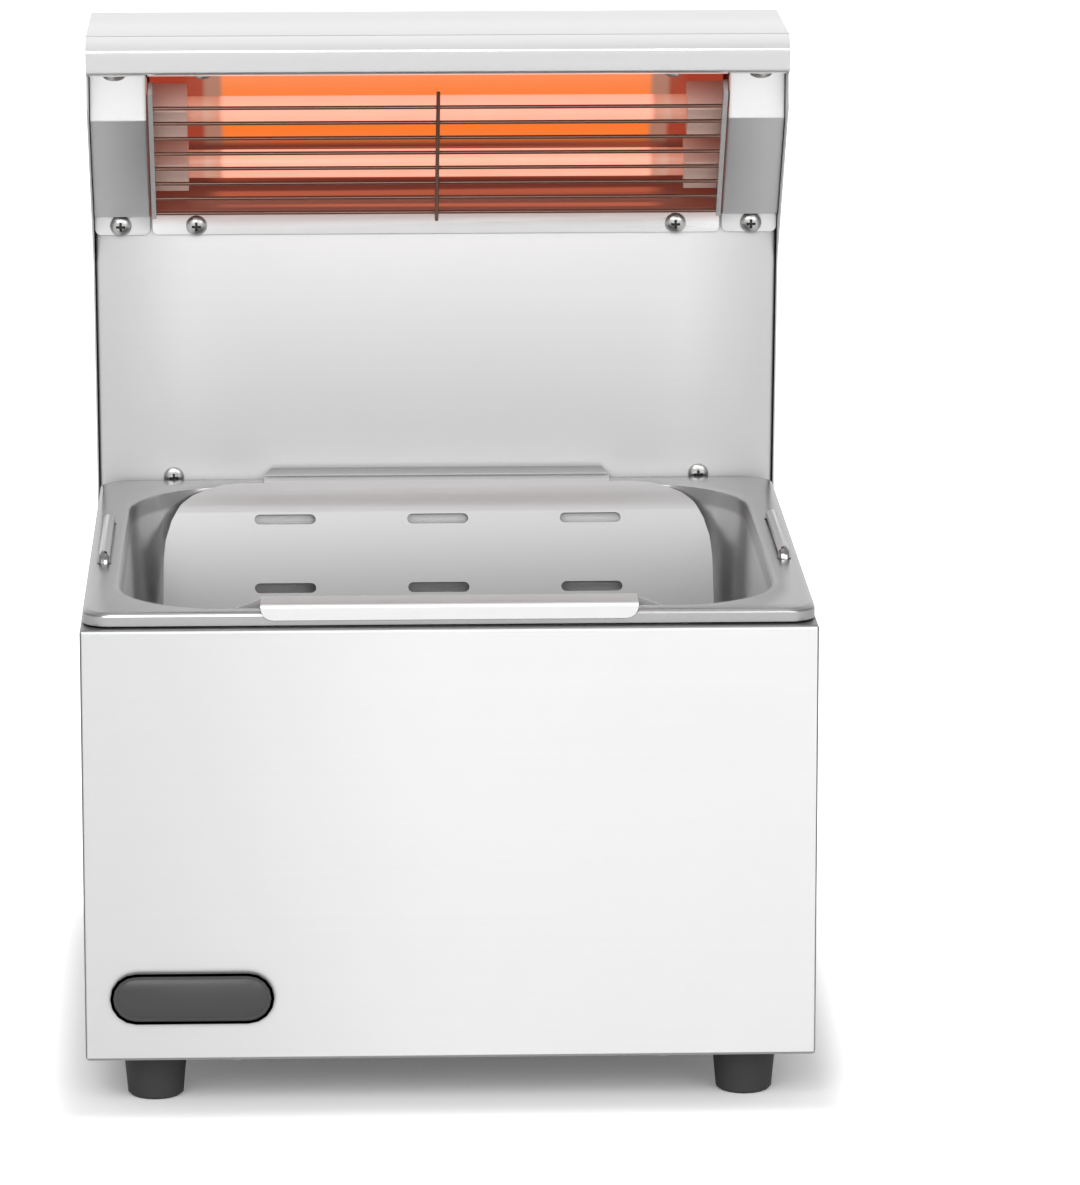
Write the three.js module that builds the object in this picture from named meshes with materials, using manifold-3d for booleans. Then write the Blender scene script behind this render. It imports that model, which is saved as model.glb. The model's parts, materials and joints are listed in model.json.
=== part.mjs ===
// Countertop chip dump station: a heated, open scuttle with a lift-out pan and drain insert.
// Lengths are millimetres. Each piece is drawn with x to the right, y from the body's front
// face to the back, and z up from the body's top, and the whole is then set on the floor.
import * as THREE from "three";
import { mergeVertices } from "three/addons/utils/BufferGeometryUtils.js";
import Module from "manifold-3d";

const wasm = await Module();
wasm.setup();

// Driving sizes: body
const body_height = 215.5;
const body_side_margin = 1;
const pan_back_space = 10.6;
const sheet = 0.8;
const seat_gap = 0.25;
const fold_radius = 1.6;
const bottom_corner_radius = 2;
const ledge_width = 13;
const front_ledge_width = 10.5;
const ledge_notch_length = 160;
const ledge_notch_edge = 4.6;
const bottom_flange = 16;
const base_inset = 4;
const rail_rise = 16;
const rail_reach = 10;

// Driving sizes: feet
const foot_height = 24.3;
const foot_top_radius = 15.85;
const foot_bottom_radius = 13.8;
const foot_edge_radius = 1.5;
const foot_side_inset = 33.3;
const foot_inset = 30;
const foot_recess_radius = 7;
const foot_recess_depth = 16;
const foot_bore_radius = 2.2;
const foot_screw_radius = 1.9;
const foot_screw_length = 14;
const foot_screw_head = 2.4;
const foot_screw_head_radius = 4;

// Driving sizes: pan, a two thirds Gastronorm pan 150 deep
const pan_length = 354;
const pan_width = 325;
const pan_depth = 150;
const pan_sheet = 1;
const pan_front = 4.4;
const rim_rise = 7.5;
const rim_fold_radius = 1.5;
const rim_outer_corner = 13;
const rim_side_width = 16.5;
const rim_front_width = 12;
const rim_back_width = 13;
const pan_corner_radius = 58;
const pan_taper = 8;
const pan_lip_radius = 3;
const pan_floor_radius = 17;
const pan_floor_margin = 40;

// Driving sizes: pan handles
const wire_handle_length = 102;
const wire_handle_radius = 2.9;
const wire_handle_bend = 4.5;
const wire_handle_inset = 7.7;
const wire_handle_travel = 35;
const wire_handle_toe = 9;
const wire_hole_radius = 3.6;

// Driving sizes: drain insert
const insert_sheet = 1;
const insert_side_inset = 33.5;
const insert_edge_gap = 2;
const insert_front_gap = 6.5;
const insert_lip_inset = 86;
const insert_lip_rise = 5;
const insert_front_rise = 3;
const insert_skirt = 7.5;
const insert_skirt_corner = 6;
const insert_lip_chamfer = 5;
const insert_corner_depth = 33;
const insert_shoulder_run = 15;
const insert_shoulder_drop = 3;
const slot_length = 32;
const slot_width = 5.6;
const slot_column_pitch = 80;
const slot_row_pitch = 39;
const slot_row_count = 4;
const slot_first_run = 10.8;
const floor_slot_row_count = 3;
const floor_slot_setback = 59.6;
const slot_cut_depth = 4;
const insert_lip_overlap = 22;
const insert_top_run = 15;
const insert_top_slope = THREE.MathUtils.degToRad(30);
const insert_slope = THREE.MathUtils.degToRad(55);
const insert_top_bend = 30;
const insert_floor_bend = 45;
const insert_front_bend = 34;
const insert_floor_gap = 12;

// Driving sizes: column and hood
const hood_rise = 254;
const column_lean = 0.13;
const column_wedge = 7;
const cheek_front = 96.5;
const cheek_top_drop = 19.4;
const cheek_straight_drop = 37;
const cheek_slant_start_depth = 90;
const cheek_slant_start_drop = 44;
const cheek_slant_end_depth = 25;
const cheek_slant_end_drop = 125;
const cheek_foot_end_depth = 23.3;
const cheek_foot_drop = 129;
const hood_overhang = 100.5;
const hood_nose_height = 12.1;
const hood_bevel_run = 6;
const hood_return_flange = 22;
const hood_back_lip = 20;
const cheek_bevel_run = 3.3;
const cheek_bevel_rise = 3.95;
const shell_top_chamfer = 0.8;
const splash_foot_gap = 0.8;
const splash_top_drop = 103.4;
const splash_edge_radius = 3;
const splash_side_return = 5;

// Driving sizes: heater
const band_bottom_drop = 113.3;
const guard_start_depth = 95.5;
const guard_start_drop = 29.6;
const guard_end_depth = 32.9;
const guard_end_drop = 106;
const guard_wire_radius = 1;
const guard_wire_count = 8;
const guard_first_wire = 10.8;
const guard_wire_pitch = 11.5;
const guard_bar_width = 2.4;
const guard_bar_depth = 7.4;
const guard_bar_proud = 1.5;
const guard_bar_overrun = 1;
const guard_bar_end = 94;
const guard_cross_offset = 1.7;
const guard_cross_start = 2;
const guard_cross_end = 95.6;
const guard_wire_overrun = 0.6;
const trough_depth = 34;
const trough_floor_margin = 8;
const lamp_radius = 7.3;
const lamp_wall = 1.2;
const lamp_end_gap = 0.4;
const lamp_setback = 18;
const lamp_first = 32;
const lamp_pitch = 41;
const element_radius = 2.2;
const holder_length = 19.5;
const holder_side = 20;
const holder_bore_gap = 0.3;
const holder_bore_depth = 6;
const holder_vent_radius = 3;
const lead_hole_radius = 3.4;
const trough_side_inset = 30.1;
const trough_shoulder = 12;
const band_corner_radius = 3;
const cover_width = 28.8;
const cover_fold_drop = 45.4;
const cover_setback = 80;
const cover_toe_depth = 34.2;
const cover_toe_drop = 102.3;

// Driving sizes: badge, switch, gland and wiring
const badge_length = 79.8;
const badge_height = 25.5;
const badge_thickness = 2;
const badge_rim = 1.6;
const badge_side_inset = 52.2;
const badge_rise = 32.4;
const badge_dish = 0.5;
const switch_side_inset = 82;
const switch_rise = 37.5;
const switch_opening_width = 27.2;
const switch_opening_height = 21.8;
const switch_bezel_width = 31;
const switch_bezel_height = 25.4;
const switch_bezel_thickness = 2;
const switch_body_depth = 20;
const rocker_width = 20;
const rocker_height = 16;
const rocker_proud = 2.4;
const rocker_back_share = 0.75;
const rocker_dip_share = 0.4;
const rocker_tilt = THREE.MathUtils.degToRad(10);
const gland_side_inset = 40;
const gland_rise = 31.5;
const gland_hex_radius = 11;
const gland_hex_length = 5;
const gland_dome_radius = 9.6;
const gland_dome_tip = 6.6;
const gland_dome_length = 12;
const gland_thread_radius = 7.6;
const gland_thread_length = 12;
const gland_bore_radius = 3.6;
const gland_nut_length = 4.5;
const terminal_length = 46;
const terminal_depth = 22;
const terminal_height = 17;
const terminal_pole_count = 3;
const terminal_screw_well = 2.3;
const terminal_well_depth = 6;
const terminal_side_inset = 60;
const terminal_setback = 56;
const lead_turn = 8;
const lead_bend = 4;
const lead_side_step = 6;
const lead_riser_step = 28;
const lead_crossing_drop = 96;
const lead_radius = 1.5;

// Driving sizes: screws, each with a domed cross-slotted head
const splash_screw = { inset: 39.3, rise: 8.2, head: 5.25, dome: 2.2, shank: 2, length: 6 };
const band_screw = { head: 5.5, dome: 3.2, shank: 2, length: 7 };
const band_screw_drop = 108.4;
const band_screw_outer_inset = 13.6;
const band_screw_inner_inset = 53;
const hood_screw = { head: 6, dome: 3.6, shank: 2, length: 7, depth: 88 };
const hood_screw_small = { head: 4.2, dome: 2.4, shank: 1.6, length: 6, depth: 90 };
const hood_screw_outer_inset = 13;
const hood_screw_inner_inset = 58;
const base_screw = { head: 3.6, dome: 1.8, shank: 1.5, length: 7, inset: 9 };
const base_screw_front_inset = 74;
const base_screw_side_setback = 110;
const shell_screw = { head: 4.4, dome: 2.2, shank: 1.6, length: 7 };
const shell_screw_low_rise = 10.5;
const shell_screw_low_inset = 7;
const shell_screw_high_drop = 11;
const shell_screw_high_inset = 28;
const cross_slot_share = 0.6;
const cross_slot_width_share = 0.2;
const cross_slot_depth_share = 0.6;
const bore_play = 0.25;

// How finely curves are cut into facets
const corner_steps = 8;
const fold_steps = 3;
const curve_steps = 2;
const bend_steps = 6;
const dome_steps = 2;
const wire_bend_steps = 5;
const handle_sides = 12;
const screw_sides = 10;
const rocker_sides = 32;
const round_sides = 18;
const wire_sides = 8;
const hexagon = 6;
const miter_limit_share = 0.6;

// Sizes that follow from the driving sizes
const half_pan = pan_length / 2;
const half_body = half_pan + body_side_margin;
const half_station = half_body + seat_gap + sheet;
const station_depth = pan_front + pan_width + pan_back_space;
const deck_back = station_depth - column_wedge;
const pan_back = pan_front + pan_width;
const pan_middle = (pan_front + pan_back) / 2;
const rim_skirt_bottom = seat_gap;
const handle_leg_offset = wire_handle_length / 2 - wire_handle_radius;
const wire_handle_offset = half_pan - wire_handle_inset;
const cheek_top = hood_rise - cheek_top_drop;
const cheek_straight_end = hood_rise - cheek_straight_drop;
const cheek_slant_start = hood_rise - cheek_slant_start_drop;
const cheek_slant_end = hood_rise - cheek_slant_end_drop;
const cheek_foot_end = hood_rise - cheek_foot_drop;
const splash_top = hood_rise - splash_top_drop;
const band_bottom = hood_rise - band_bottom_drop;
const guard_start = hood_rise - guard_start_drop;
const guard_end = hood_rise - guard_end_drop;
const cover_fold = hood_rise - cover_fold_drop;
const cover_toe = hood_rise - cover_toe_drop;
const lead_crossing_rise = hood_rise - lead_crossing_drop;
const band_screw_rise = hood_rise - band_screw_drop;
const base_top = sheet - body_height;
const skin_inner = station_depth - sheet;
const trough_half_width = half_body - trough_side_inset;
const switch_x = switch_side_inset - half_body;
const switch_z = switch_rise - body_height;

const materials = {};

// Returns one shared material per surface, so that pieces of the same stuff match.
function surface(name) {
  const looks = {
    brushed_steel: { color: 0xd9d9d7, roughness: 0.34, metalness: 1 },
    polished_steel: { color: 0xcfd0d1, roughness: 0.18, metalness: 1 },
    mirror_aluminium: { color: 0xdedede, roughness: 0.12, metalness: 1 },
    screw_steel: { color: 0xb9b9b8, roughness: 0.3, metalness: 1 },
    black_rubber: { color: 0x2c2c2d, roughness: 0.75, metalness: 0 },
    dark_plastic: { color: 0x3d3d3f, roughness: 0.42, metalness: 0 },
    black_plastic: { color: 0x1c1c1d, roughness: 0.45, metalness: 0 },
    lead_sleeve: { color: 0x8a8a86, roughness: 0.6, metalness: 0 },
    milky_quartz: { color: 0xffb08c, roughness: 0.3, metalness: 0, emissive: 0xff6a2a },
    heating_coil: { color: 0xff7a33, roughness: 0.6, metalness: 0, emissive: 0xff5a14 },
    ceramic: { color: 0xe4ded4, roughness: 0.7, metalness: 0 },
  };
  materials[name] ??= new THREE.MeshStandardMaterial(looks[name]);
  return materials[name];
}

// Turns a closed geometry into a solid that can be joined and cut.
function solid(geometry) {
  const plain = geometry.index ? geometry.toNonIndexed() : geometry.clone();
  plain.deleteAttribute("normal");
  plain.deleteAttribute("uv");
  const merged = mergeVertices(plain);
  const vertProperties = new Float32Array(merged.attributes.position.array);
  const triVerts = new Uint32Array(merged.index.array);
  const made = new wasm.Manifold(new wasm.Mesh({ numProp: 3, vertProperties, triVerts }));
  if (made.volume() > 0) return made;
  triVerts.reverse();
  return new wasm.Manifold(new wasm.Mesh({ numProp: 3, vertProperties, triVerts }));
}

// Turns a finished solid into a named mesh.
function piece(name, shape, material) {
  const made = shape.getMesh();
  const geometry = new THREE.BufferGeometry();
  geometry.setAttribute("position", new THREE.BufferAttribute(made.vertProperties, 3));
  geometry.setIndex(new THREE.BufferAttribute(made.triVerts, 1));
  const flat = geometry.toNonIndexed();
  flat.computeVertexNormals();
  const mesh = new THREE.Mesh(flat, surface(material));
  mesh.name = name;
  return mesh;
}

function join(...shapes) {
  return shapes.reduce((sum, shape) => sum.add(shape));
}

function without(shape, ...cuts) {
  return cuts.reduce((rest, cut) => rest.subtract(cut), shape);
}

// A box between two corners.
function block(low, high) {
  const size = high.map((value, axis) => value - low[axis]);
  const middle = high.map((value, axis) => (value + low[axis]) / 2);
  return solid(new THREE.BoxGeometry(...size).translate(...middle));
}

function outline(points) {
  return new THREE.Shape(points.map(([x, y]) => new THREE.Vector2(x, y)));
}

// Turns a drawing's own axes so that they lie along the three given directions.
function turned(geometry, first, second, third) {
  const basis = new THREE.Matrix4().makeBasis(first, second, third);
  return geometry.applyMatrix4(basis);
}

const along_x = new THREE.Vector3(1, 0, 0);
const along_y = new THREE.Vector3(0, 1, 0);
const along_z = new THREE.Vector3(0, 0, 1);

function extruded(shape, from, to) {
  const geometry = new THREE.ExtrudeGeometry(shape, {
    depth: to - from,
    bevelEnabled: false,
    curveSegments: curve_steps,
  });
  return geometry.translate(0, 0, from);
}

// A shape drawn seen from the side (y, z), with its thickness along x.
function side_prism(shape, from, to) {
  return solid(turned(extruded(shape, from, to), along_y, along_z, along_x));
}

// A shape drawn seen from the front (x, z), with its thickness along y.
function front_prism(shape, from, to) {
  const back_to_front = along_y.clone().negate();
  return solid(turned(extruded(shape, -to, -from), along_x, along_z, back_to_front));
}

// A shape drawn seen from above (x, y), with its thickness along z.
function plan_prism(shape, from, to) {
  return solid(extruded(shape, from, to));
}

// A rectangle with rounded corners; each corner has its own radius, from the low left one round.
function rounded_rectangle(left, bottom, right, top, radii) {
  const shape = new THREE.Shape();
  const [low_left, low_right, high_right, high_left] = radii;
  shape.moveTo(left + low_left, bottom);
  shape.lineTo(right - low_right, bottom);
  round_corner(shape, right - low_right, bottom + low_right, low_right, -Math.PI / 2);
  shape.lineTo(right, top - high_right);
  round_corner(shape, right - high_right, top - high_right, high_right, 0);
  shape.lineTo(left + high_left, top);
  round_corner(shape, left + high_left, top - high_left, high_left, Math.PI / 2);
  shape.lineTo(left, bottom + low_left);
  round_corner(shape, left + low_left, bottom + low_left, low_left, Math.PI);
  return shape;
}

function round_corner(shape, x, y, radius, start) {
  if (radius > 0) shape.absarc(x, y, radius, start, start + Math.PI / 2, false);
}

// The points of a bent line. Each corner is [a, b] or [a, b, radius].
function bent_line(corners, steps = fold_steps) {
  const points = [];
  corners.forEach(([a, b, radius], index) => {
    const here = new THREE.Vector2(a, b);
    if (!radius) {
      points.push(here);
      return;
    }
    const before = new THREE.Vector2(...corners[index - 1]).sub(here).normalize();
    const after = new THREE.Vector2(...corners[index + 1]).sub(here).normalize();
    const half_angle = before.angleTo(after) / 2;
    const middle = before.clone().add(after).normalize();
    const centre = here.clone().addScaledVector(middle, radius / Math.sin(half_angle));
    const start = here.clone().addScaledVector(before, radius / Math.tan(half_angle)).sub(centre);
    const turn = Math.PI - half_angle * 2;
    const way = Math.sign(before.cross(after)) || 1;
    for (let step = 0; step <= steps; step += 1) {
      const spoke = start.clone().rotateAround(new THREE.Vector2(), (-way * turn * step) / steps);
      points.push(spoke.add(centre));
    }
  });
  return points;
}

// The two sides of a sheet whose middle follows a bent line, as points to its left and right.
function sheet_sides(points, thickness) {
  const left = [];
  const right = [];
  points.forEach((point, index) => {
    const into = point.clone().sub(points[Math.max(index - 1, 0)]);
    const out = points[Math.min(index + 1, points.length - 1)].clone().sub(point);
    const usable = [into, out].filter((step) => step.length() > 0).map((step) => step.normalize());
    const heading = usable.reduce((sum, step) => sum.add(step), new THREE.Vector2()).normalize();
    const widening = 1 / Math.max(heading.dot(usable[0]), miter_limit_share);
    const normal = new THREE.Vector2(-heading.y, heading.x).multiplyScalar(widening);
    left.push(point.clone().addScaledVector(normal, thickness / 2));
    right.push(point.clone().addScaledVector(normal, -thickness / 2));
  });
  return { left, right };
}

// A folded sheet seen from its edge.
function folded(corners, thickness, steps = fold_steps) {
  const { left, right } = sheet_sides(bent_line(corners, steps), thickness);
  return new THREE.Shape([...right, ...left.reverse()]);
}

// A body of revolution: profile points are [radius, height], closed by the axis.
function turned_part(profile, sides = round_sides) {
  const points = profile.map(([radius, height]) => new THREE.Vector2(radius, height));
  const lathe = new THREE.LatheGeometry(points, sides);
  const upright = new THREE.Matrix4().makeRotationX(Math.PI / 2);
  return solid(lathe.applyMatrix4(upright));
}

function cylinder(radius, from, to, sides = round_sides) {
  return turned_part([[0, from], [radius, from], [radius, to], [0, to]], sides);
}

// Round wire through 3-D corners, each rounded in a few steps. Rings are turned from one
// heading to the next, so that the wire doesn't twist.
function wire(corners, radius, bend_radius, sides = wire_sides) {
  const path = [corners[0]];
  corners.slice(1, -1).forEach((corner, index) => {
    const before = corners[index].clone().sub(corner).normalize();
    const after = corners[index + 2].clone().sub(corner).normalize();
    const enter = corner.clone().addScaledVector(before, bend_radius);
    const leave = corner.clone().addScaledVector(after, bend_radius);
    path.push(...new THREE.QuadraticBezierCurve3(enter, corner, leave).getPoints(wire_bend_steps));
  });
  path.push(corners[corners.length - 1]);
  const last = path.length - 1;
  const steps = path.slice(1).map((point, index) => point.clone().sub(path[index]).normalize());
  const headings = path.map((_, index) =>
    steps[Math.max(index - 1, 0)].clone().add(steps[Math.min(index, last - 1)]).normalize(),
  );
  const across = Math.abs(headings[0].x) < Math.abs(headings[0].y) ? along_x.clone() : along_y.clone();
  across.cross(headings[0]).normalize();
  const rings = path.map((point, index) => {
    const before = headings[Math.max(index - 1, 0)];
    across.applyQuaternion(new THREE.Quaternion().setFromUnitVectors(before, headings[index]));
    const up = headings[index].clone().cross(across);
    const ring = [];
    for (let side = 0; side < sides; side += 1) {
      const angle = (Math.PI * 2 * side) / sides;
      const spoke = across.clone().multiplyScalar(Math.cos(angle)).addScaledVector(up, Math.sin(angle));
      ring.push(point.clone().addScaledVector(spoke, radius));
    }
    return ring;
  });
  return lofted(rings);
}

// Skins a closed surface over rings of equal count; the first and last ring are capped.
function lofted(rings) {
  const count = rings[0].length;
  const points = rings.flat();
  const triangles = [];
  for (let ring = 0; ring < rings.length - 1; ring += 1) {
    for (let side = 0; side < count; side += 1) {
      const next = (side + 1) % count;
      const low = ring * count;
      const high = low + count;
      triangles.push(low + side, low + next, high + next);
      triangles.push(low + side, high + next, high + side);
    }
  }
  const last = (rings.length - 1) * count;
  for (let side = 1; side < count - 1; side += 1) {
    triangles.push(0, side + 1, side);
    triangles.push(last, last + side, last + side + 1);
  }
  const geometry = new THREE.BufferGeometry().setFromPoints(points);
  geometry.setIndex(triangles);
  return solid(geometry);
}

// A rounded rectangle as a ring of points at one height.
function rectangle_ring({ left, front, right, back, radius }, height) {
  const corners = [
    [right - radius, front + radius, -Math.PI / 2],
    [right - radius, back - radius, 0],
    [left + radius, back - radius, Math.PI / 2],
    [left + radius, front + radius, Math.PI],
  ];
  const ring = [];
  corners.forEach(([x, y, start]) => {
    for (let step = 0; step <= corner_steps; step += 1) {
      const angle = start + ((Math.PI / 2) * step) / corner_steps;
      const across = x + Math.cos(angle) * radius;
      const along = y + Math.sin(angle) * radius;
      ring.push(new THREE.Vector3(across, along, height));
    }
  });
  return ring;
}

function inset_rectangle(rectangle, inset) {
  return {
    left: rectangle.left + inset,
    front: rectangle.front + inset,
    right: rectangle.right - inset,
    back: rectangle.back - inset,
    radius: rectangle.radius - inset,
  };
}

const rim_outline = {
  left: -half_pan,
  front: pan_front,
  right: half_pan,
  back: pan_back,
  radius: rim_outer_corner,
};

const cavity_outline = {
  left: rim_outline.left + rim_side_width,
  front: rim_outline.front + rim_front_width,
  right: rim_outline.right - rim_side_width,
  back: rim_outline.back - rim_back_width,
  radius: pan_corner_radius,
};

// The pan's outline at a given distance in from the rim's outer edge.
function pan_outline(inset) {
  if (inset > rim_side_width) return inset_rectangle(cavity_outline, inset - rim_side_width);
  const share = inset / rim_side_width;
  const blend = {};
  Object.keys(rim_outline).forEach((side) => {
    blend[side] = THREE.MathUtils.lerp(rim_outline[side], cavity_outline[side], share);
  });
  return blend;
}

// The front face of the column leans forward as it rises.
function column_front(height) {
  return deck_back - column_lean * height;
}

const lean_angle = Math.atan(column_lean);
const guard_top = new THREE.Vector2(station_depth - guard_start_depth, guard_start);
const guard_foot = new THREE.Vector2(station_depth - guard_end_depth, guard_end);
const guard_length = guard_top.distanceTo(guard_foot);
const guard_way = guard_foot.clone().sub(guard_top).normalize();
const guard_inward = new THREE.Vector2(-guard_way.y, guard_way.x);

// A point of the heater's slanted opening: how far down it, and how far in behind it.
function in_opening(down, inward) {
  return guard_top.clone().addScaledVector(guard_way, down).addScaledVector(guard_inward, inward);
}

// A screw stands at a place on a face, and looks forward, back or down.
const screws = [];

function add_screw(name, make, at, turn) {
  screws.push({ name, make, at, turn });
}

const forward = THREE.MathUtils.radToDeg(Math.PI / 2);
const backward = -forward;
const downward = forward * 2;
const leaning = forward + THREE.MathUtils.radToDeg(lean_angle);
const hood_face = cheek_top - seat_gap - sheet;
const band_face = column_front(band_screw_rise) - seat_gap - sheet;
const hood_lip_face = station_depth + seat_gap + sheet;

[["left", -1], ["right", 1]].forEach(([side, way]) => {
  const from_side = (inset) => way * (half_body - inset);
  const splash = [from_side(splash_screw.inset), column_front(splash_screw.rise), splash_screw.rise];
  const band_outer = [from_side(band_screw_outer_inset), band_face, band_screw_rise];
  const band_inner = [from_side(band_screw_inner_inset), band_face, band_screw_rise];
  const hood_y = station_depth - hood_screw.depth;
  const hood_outer = [from_side(hood_screw_outer_inset), hood_y, hood_face];
  const small_y = station_depth - hood_screw_small.depth;
  const hood_inner = [from_side(hood_screw_inner_inset), small_y, hood_face];
  const base_front = [from_side(base_screw_front_inset), base_screw.inset, -body_height];
  const base_y = station_depth - base_screw_side_setback;
  const base_side = [from_side(base_screw.inset), base_y, -body_height];
  const low_z = shell_screw_low_rise - body_height;
  const shell_low = [from_side(shell_screw_low_inset), station_depth, low_z];
  const high_z = hood_rise - shell_screw_high_drop;
  const shell_high = [from_side(shell_screw_high_inset), hood_lip_face, high_z];
  add_screw(`splash_screw_${side}`, splash_screw, splash, leaning);
  add_screw(`band_screw_outer_${side}`, band_screw, band_outer, leaning);
  add_screw(`band_screw_inner_${side}`, band_screw, band_inner, leaning);
  add_screw(`hood_screw_outer_${side}`, hood_screw, hood_outer, downward);
  add_screw(`hood_screw_inner_${side}`, hood_screw_small, hood_inner, downward);
  add_screw(`base_screw_front_${side}`, base_screw, base_front, downward);
  add_screw(`base_screw_side_${side}`, base_screw, base_side, downward);
  add_screw(`shell_screw_low_${side}`, shell_screw, shell_low, backward);
  add_screw(`shell_screw_high_${side}`, shell_screw, shell_high, backward);
});

// Cuts the clearance bores of every screw whose name starts with one of the given words.
function bored(shape, ...names) {
  return screws
    .filter((screw) => names.some((name) => screw.name.startsWith(name)))
    .reduce((rest, { make, at, turn }) => {
      const reach = make.length + make.dome;
      const bore = cylinder(make.shank + bore_play, -reach, make.dome, screw_sides);
      return rest.subtract(bore.rotate([turn, 0, 0]).translate(at));
    }, shape);
}

function screw_shape({ head, dome, shank, length }) {
  const profile = [[0, -length], [shank, -length], [shank, seat_gap]];
  for (let step = 0; step <= dome_steps; step += 1) {
    const angle = ((Math.PI / 2) * step) / dome_steps;
    profile.push([head * Math.cos(angle), seat_gap + dome * Math.sin(angle)]);
  }
  profile[profile.length - 1][0] = 0;
  const reach = head * cross_slot_share;
  const half_width = head * cross_slot_width_share;
  const floor = seat_gap + dome * (1 - cross_slot_depth_share);
  const top = seat_gap + dome * 2;
  const across = block([-reach, -half_width, floor], [reach, half_width, top]);
  const along = block([-half_width, -reach, floor], [half_width, reach, top]);
  return without(turned_part(profile, screw_sides), across, along);
}

function screw_pieces() {
  return screws.map(({ name, make, at, turn }) =>
    piece(name, screw_shape(make).rotate([turn, 0, 0]).translate(at), "screw_steel"),
  );
}

// A box with the body's folded edges, set in from its outer faces.
function body_block(inset, back, bottom) {
  const side = half_body - inset;
  const fold = fold_radius - inset;
  const corner = bottom_corner_radius - inset;
  const front_view = rounded_rectangle(-side, bottom, side, -inset, [corner, corner, fold, fold]);
  const side_view = rounded_rectangle(inset, bottom, back, -inset, [0, 0, 0, fold]);
  const plan_view = rounded_rectangle(-side, inset, side, back, [fold, fold, 0, 0]);
  return front_prism(front_view, inset, back)
    .intersect(side_prism(side_view, -side, side))
    .intersect(plan_prism(plan_view, bottom, -inset));
}

function body_wrap() {
  const bottom = base_top + seat_gap;
  const back = skin_inner - seat_gap;
  const hollow = body_block(sheet, back - sheet, bottom + sheet);
  const ledge_x = half_body - ledge_width;
  const notch_x = half_body - ledge_notch_edge;
  const notch = ledge_notch_length / 2;
  const flange_x = half_body - bottom_flange;
  const deck_hole = block([-ledge_x, front_ledge_width, -sheet * 2], [ledge_x, station_depth, sheet]);
  const notches = block(
    [-notch_x, pan_middle - notch, -sheet * 2],
    [notch_x, pan_middle + notch, sheet],
  );
  const floor_hole = block([-flange_x, bottom_flange, bottom - sheet], [flange_x, station_depth, 0]);
  const wrap = without(body_block(0, back, bottom), hollow, deck_hole, notches, floor_hole);
  return piece("body_wrap", bored(wrap, "base_screw", "shell_screw_low"), "brushed_steel");
}

function base_plate() {
  const x = half_body - base_inset;
  const back = skin_inner - base_inset;
  const plate = block([-x, base_inset, -body_height], [x, back, base_top]);
  const bores = foot_places().map(([foot_x, foot_y]) =>
    cylinder(foot_bore_radius, -body_height - sheet, base_top + sheet, screw_sides).translate([
      foot_x, foot_y, 0,
    ]),
  );
  return piece("base_plate", bored(without(plate, ...bores), "base_screw"), "brushed_steel");
}

function foot_places() {
  const x = half_body - foot_side_inset;
  const front = foot_inset;
  const back = station_depth - foot_inset;
  return [[-x, front], [x, front], [x, back], [-x, back]];
}

// Tapered rubber feet, each hollow below and held by a screw up its middle.
function feet() {
  const top = -body_height - seat_gap;
  const floor = -body_height - foot_height;
  const ceiling = floor + foot_recess_depth;
  const profile = [
    [foot_bore_radius, top],
    [foot_bore_radius, ceiling],
    [foot_recess_radius, ceiling],
    [foot_recess_radius, floor],
    [foot_bottom_radius - foot_edge_radius, floor],
    [foot_bottom_radius, floor + foot_edge_radius],
    [foot_top_radius, top],
    [foot_bore_radius, top],
  ];
  const screw = [
    [0, ceiling - foot_screw_head],
    [foot_screw_head_radius, ceiling - foot_screw_head],
    [foot_screw_head_radius, ceiling - seat_gap],
    [foot_screw_radius, ceiling - seat_gap],
    [foot_screw_radius, ceiling - seat_gap + foot_screw_length],
    [0, ceiling - seat_gap + foot_screw_length],
  ];
  const names = ["front_left", "front_right", "back_right", "back_left"];
  return foot_places().flatMap(([x, y], index) => [
    piece(`foot_${names[index]}`, turned_part(profile).translate([x, y, 0]), "black_rubber"),
    piece(
      `foot_screw_${names[index]}`,
      turned_part(screw, screw_sides).translate([x, y, 0]),
      "screw_steel",
    ),
  ]);
}

function stadium(x, z, length, height) {
  const radius = height / 2;
  const radii = [radius, radius, radius, radius];
  const half = length / 2;
  return rounded_rectangle(x - half, z - radius, x + half, z + radius, radii);
}

function badge_plate() {
  const x = badge_side_inset - half_body;
  const z = badge_rise - body_height;
  const whole = stadium(x, z, badge_length, badge_height);
  const inner_length = badge_length - badge_rim * 2;
  const inner_height = badge_height - badge_rim * 2;
  const dish = stadium(x, z, inner_length, inner_height);
  const front = -seat_gap - badge_thickness;
  const plate = front_prism(whole, front, -seat_gap);
  const sunk = front_prism(dish, front - badge_dish, front + badge_dish);
  return piece("badge_plate", without(plate, sunk), "dark_plastic");
}

// The ledge behind the pan, with the upstand that the column's splash panel is screwed to.
function rear_rail() {
  const z = -sheet / 2;
  const behind = sheet + seat_gap + sheet / 2;
  const path = [
    [pan_back - rail_reach, z],
    [deck_back + behind, z, fold_radius],
    [column_front(rail_rise) + behind, rail_rise],
  ];
  const x = half_body - ledge_width - seat_gap;
  const rail = side_prism(folded(path, sheet), -x, x);
  return piece("rear_rail", bored(rail, "splash_screw"), "brushed_steel");
}

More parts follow.
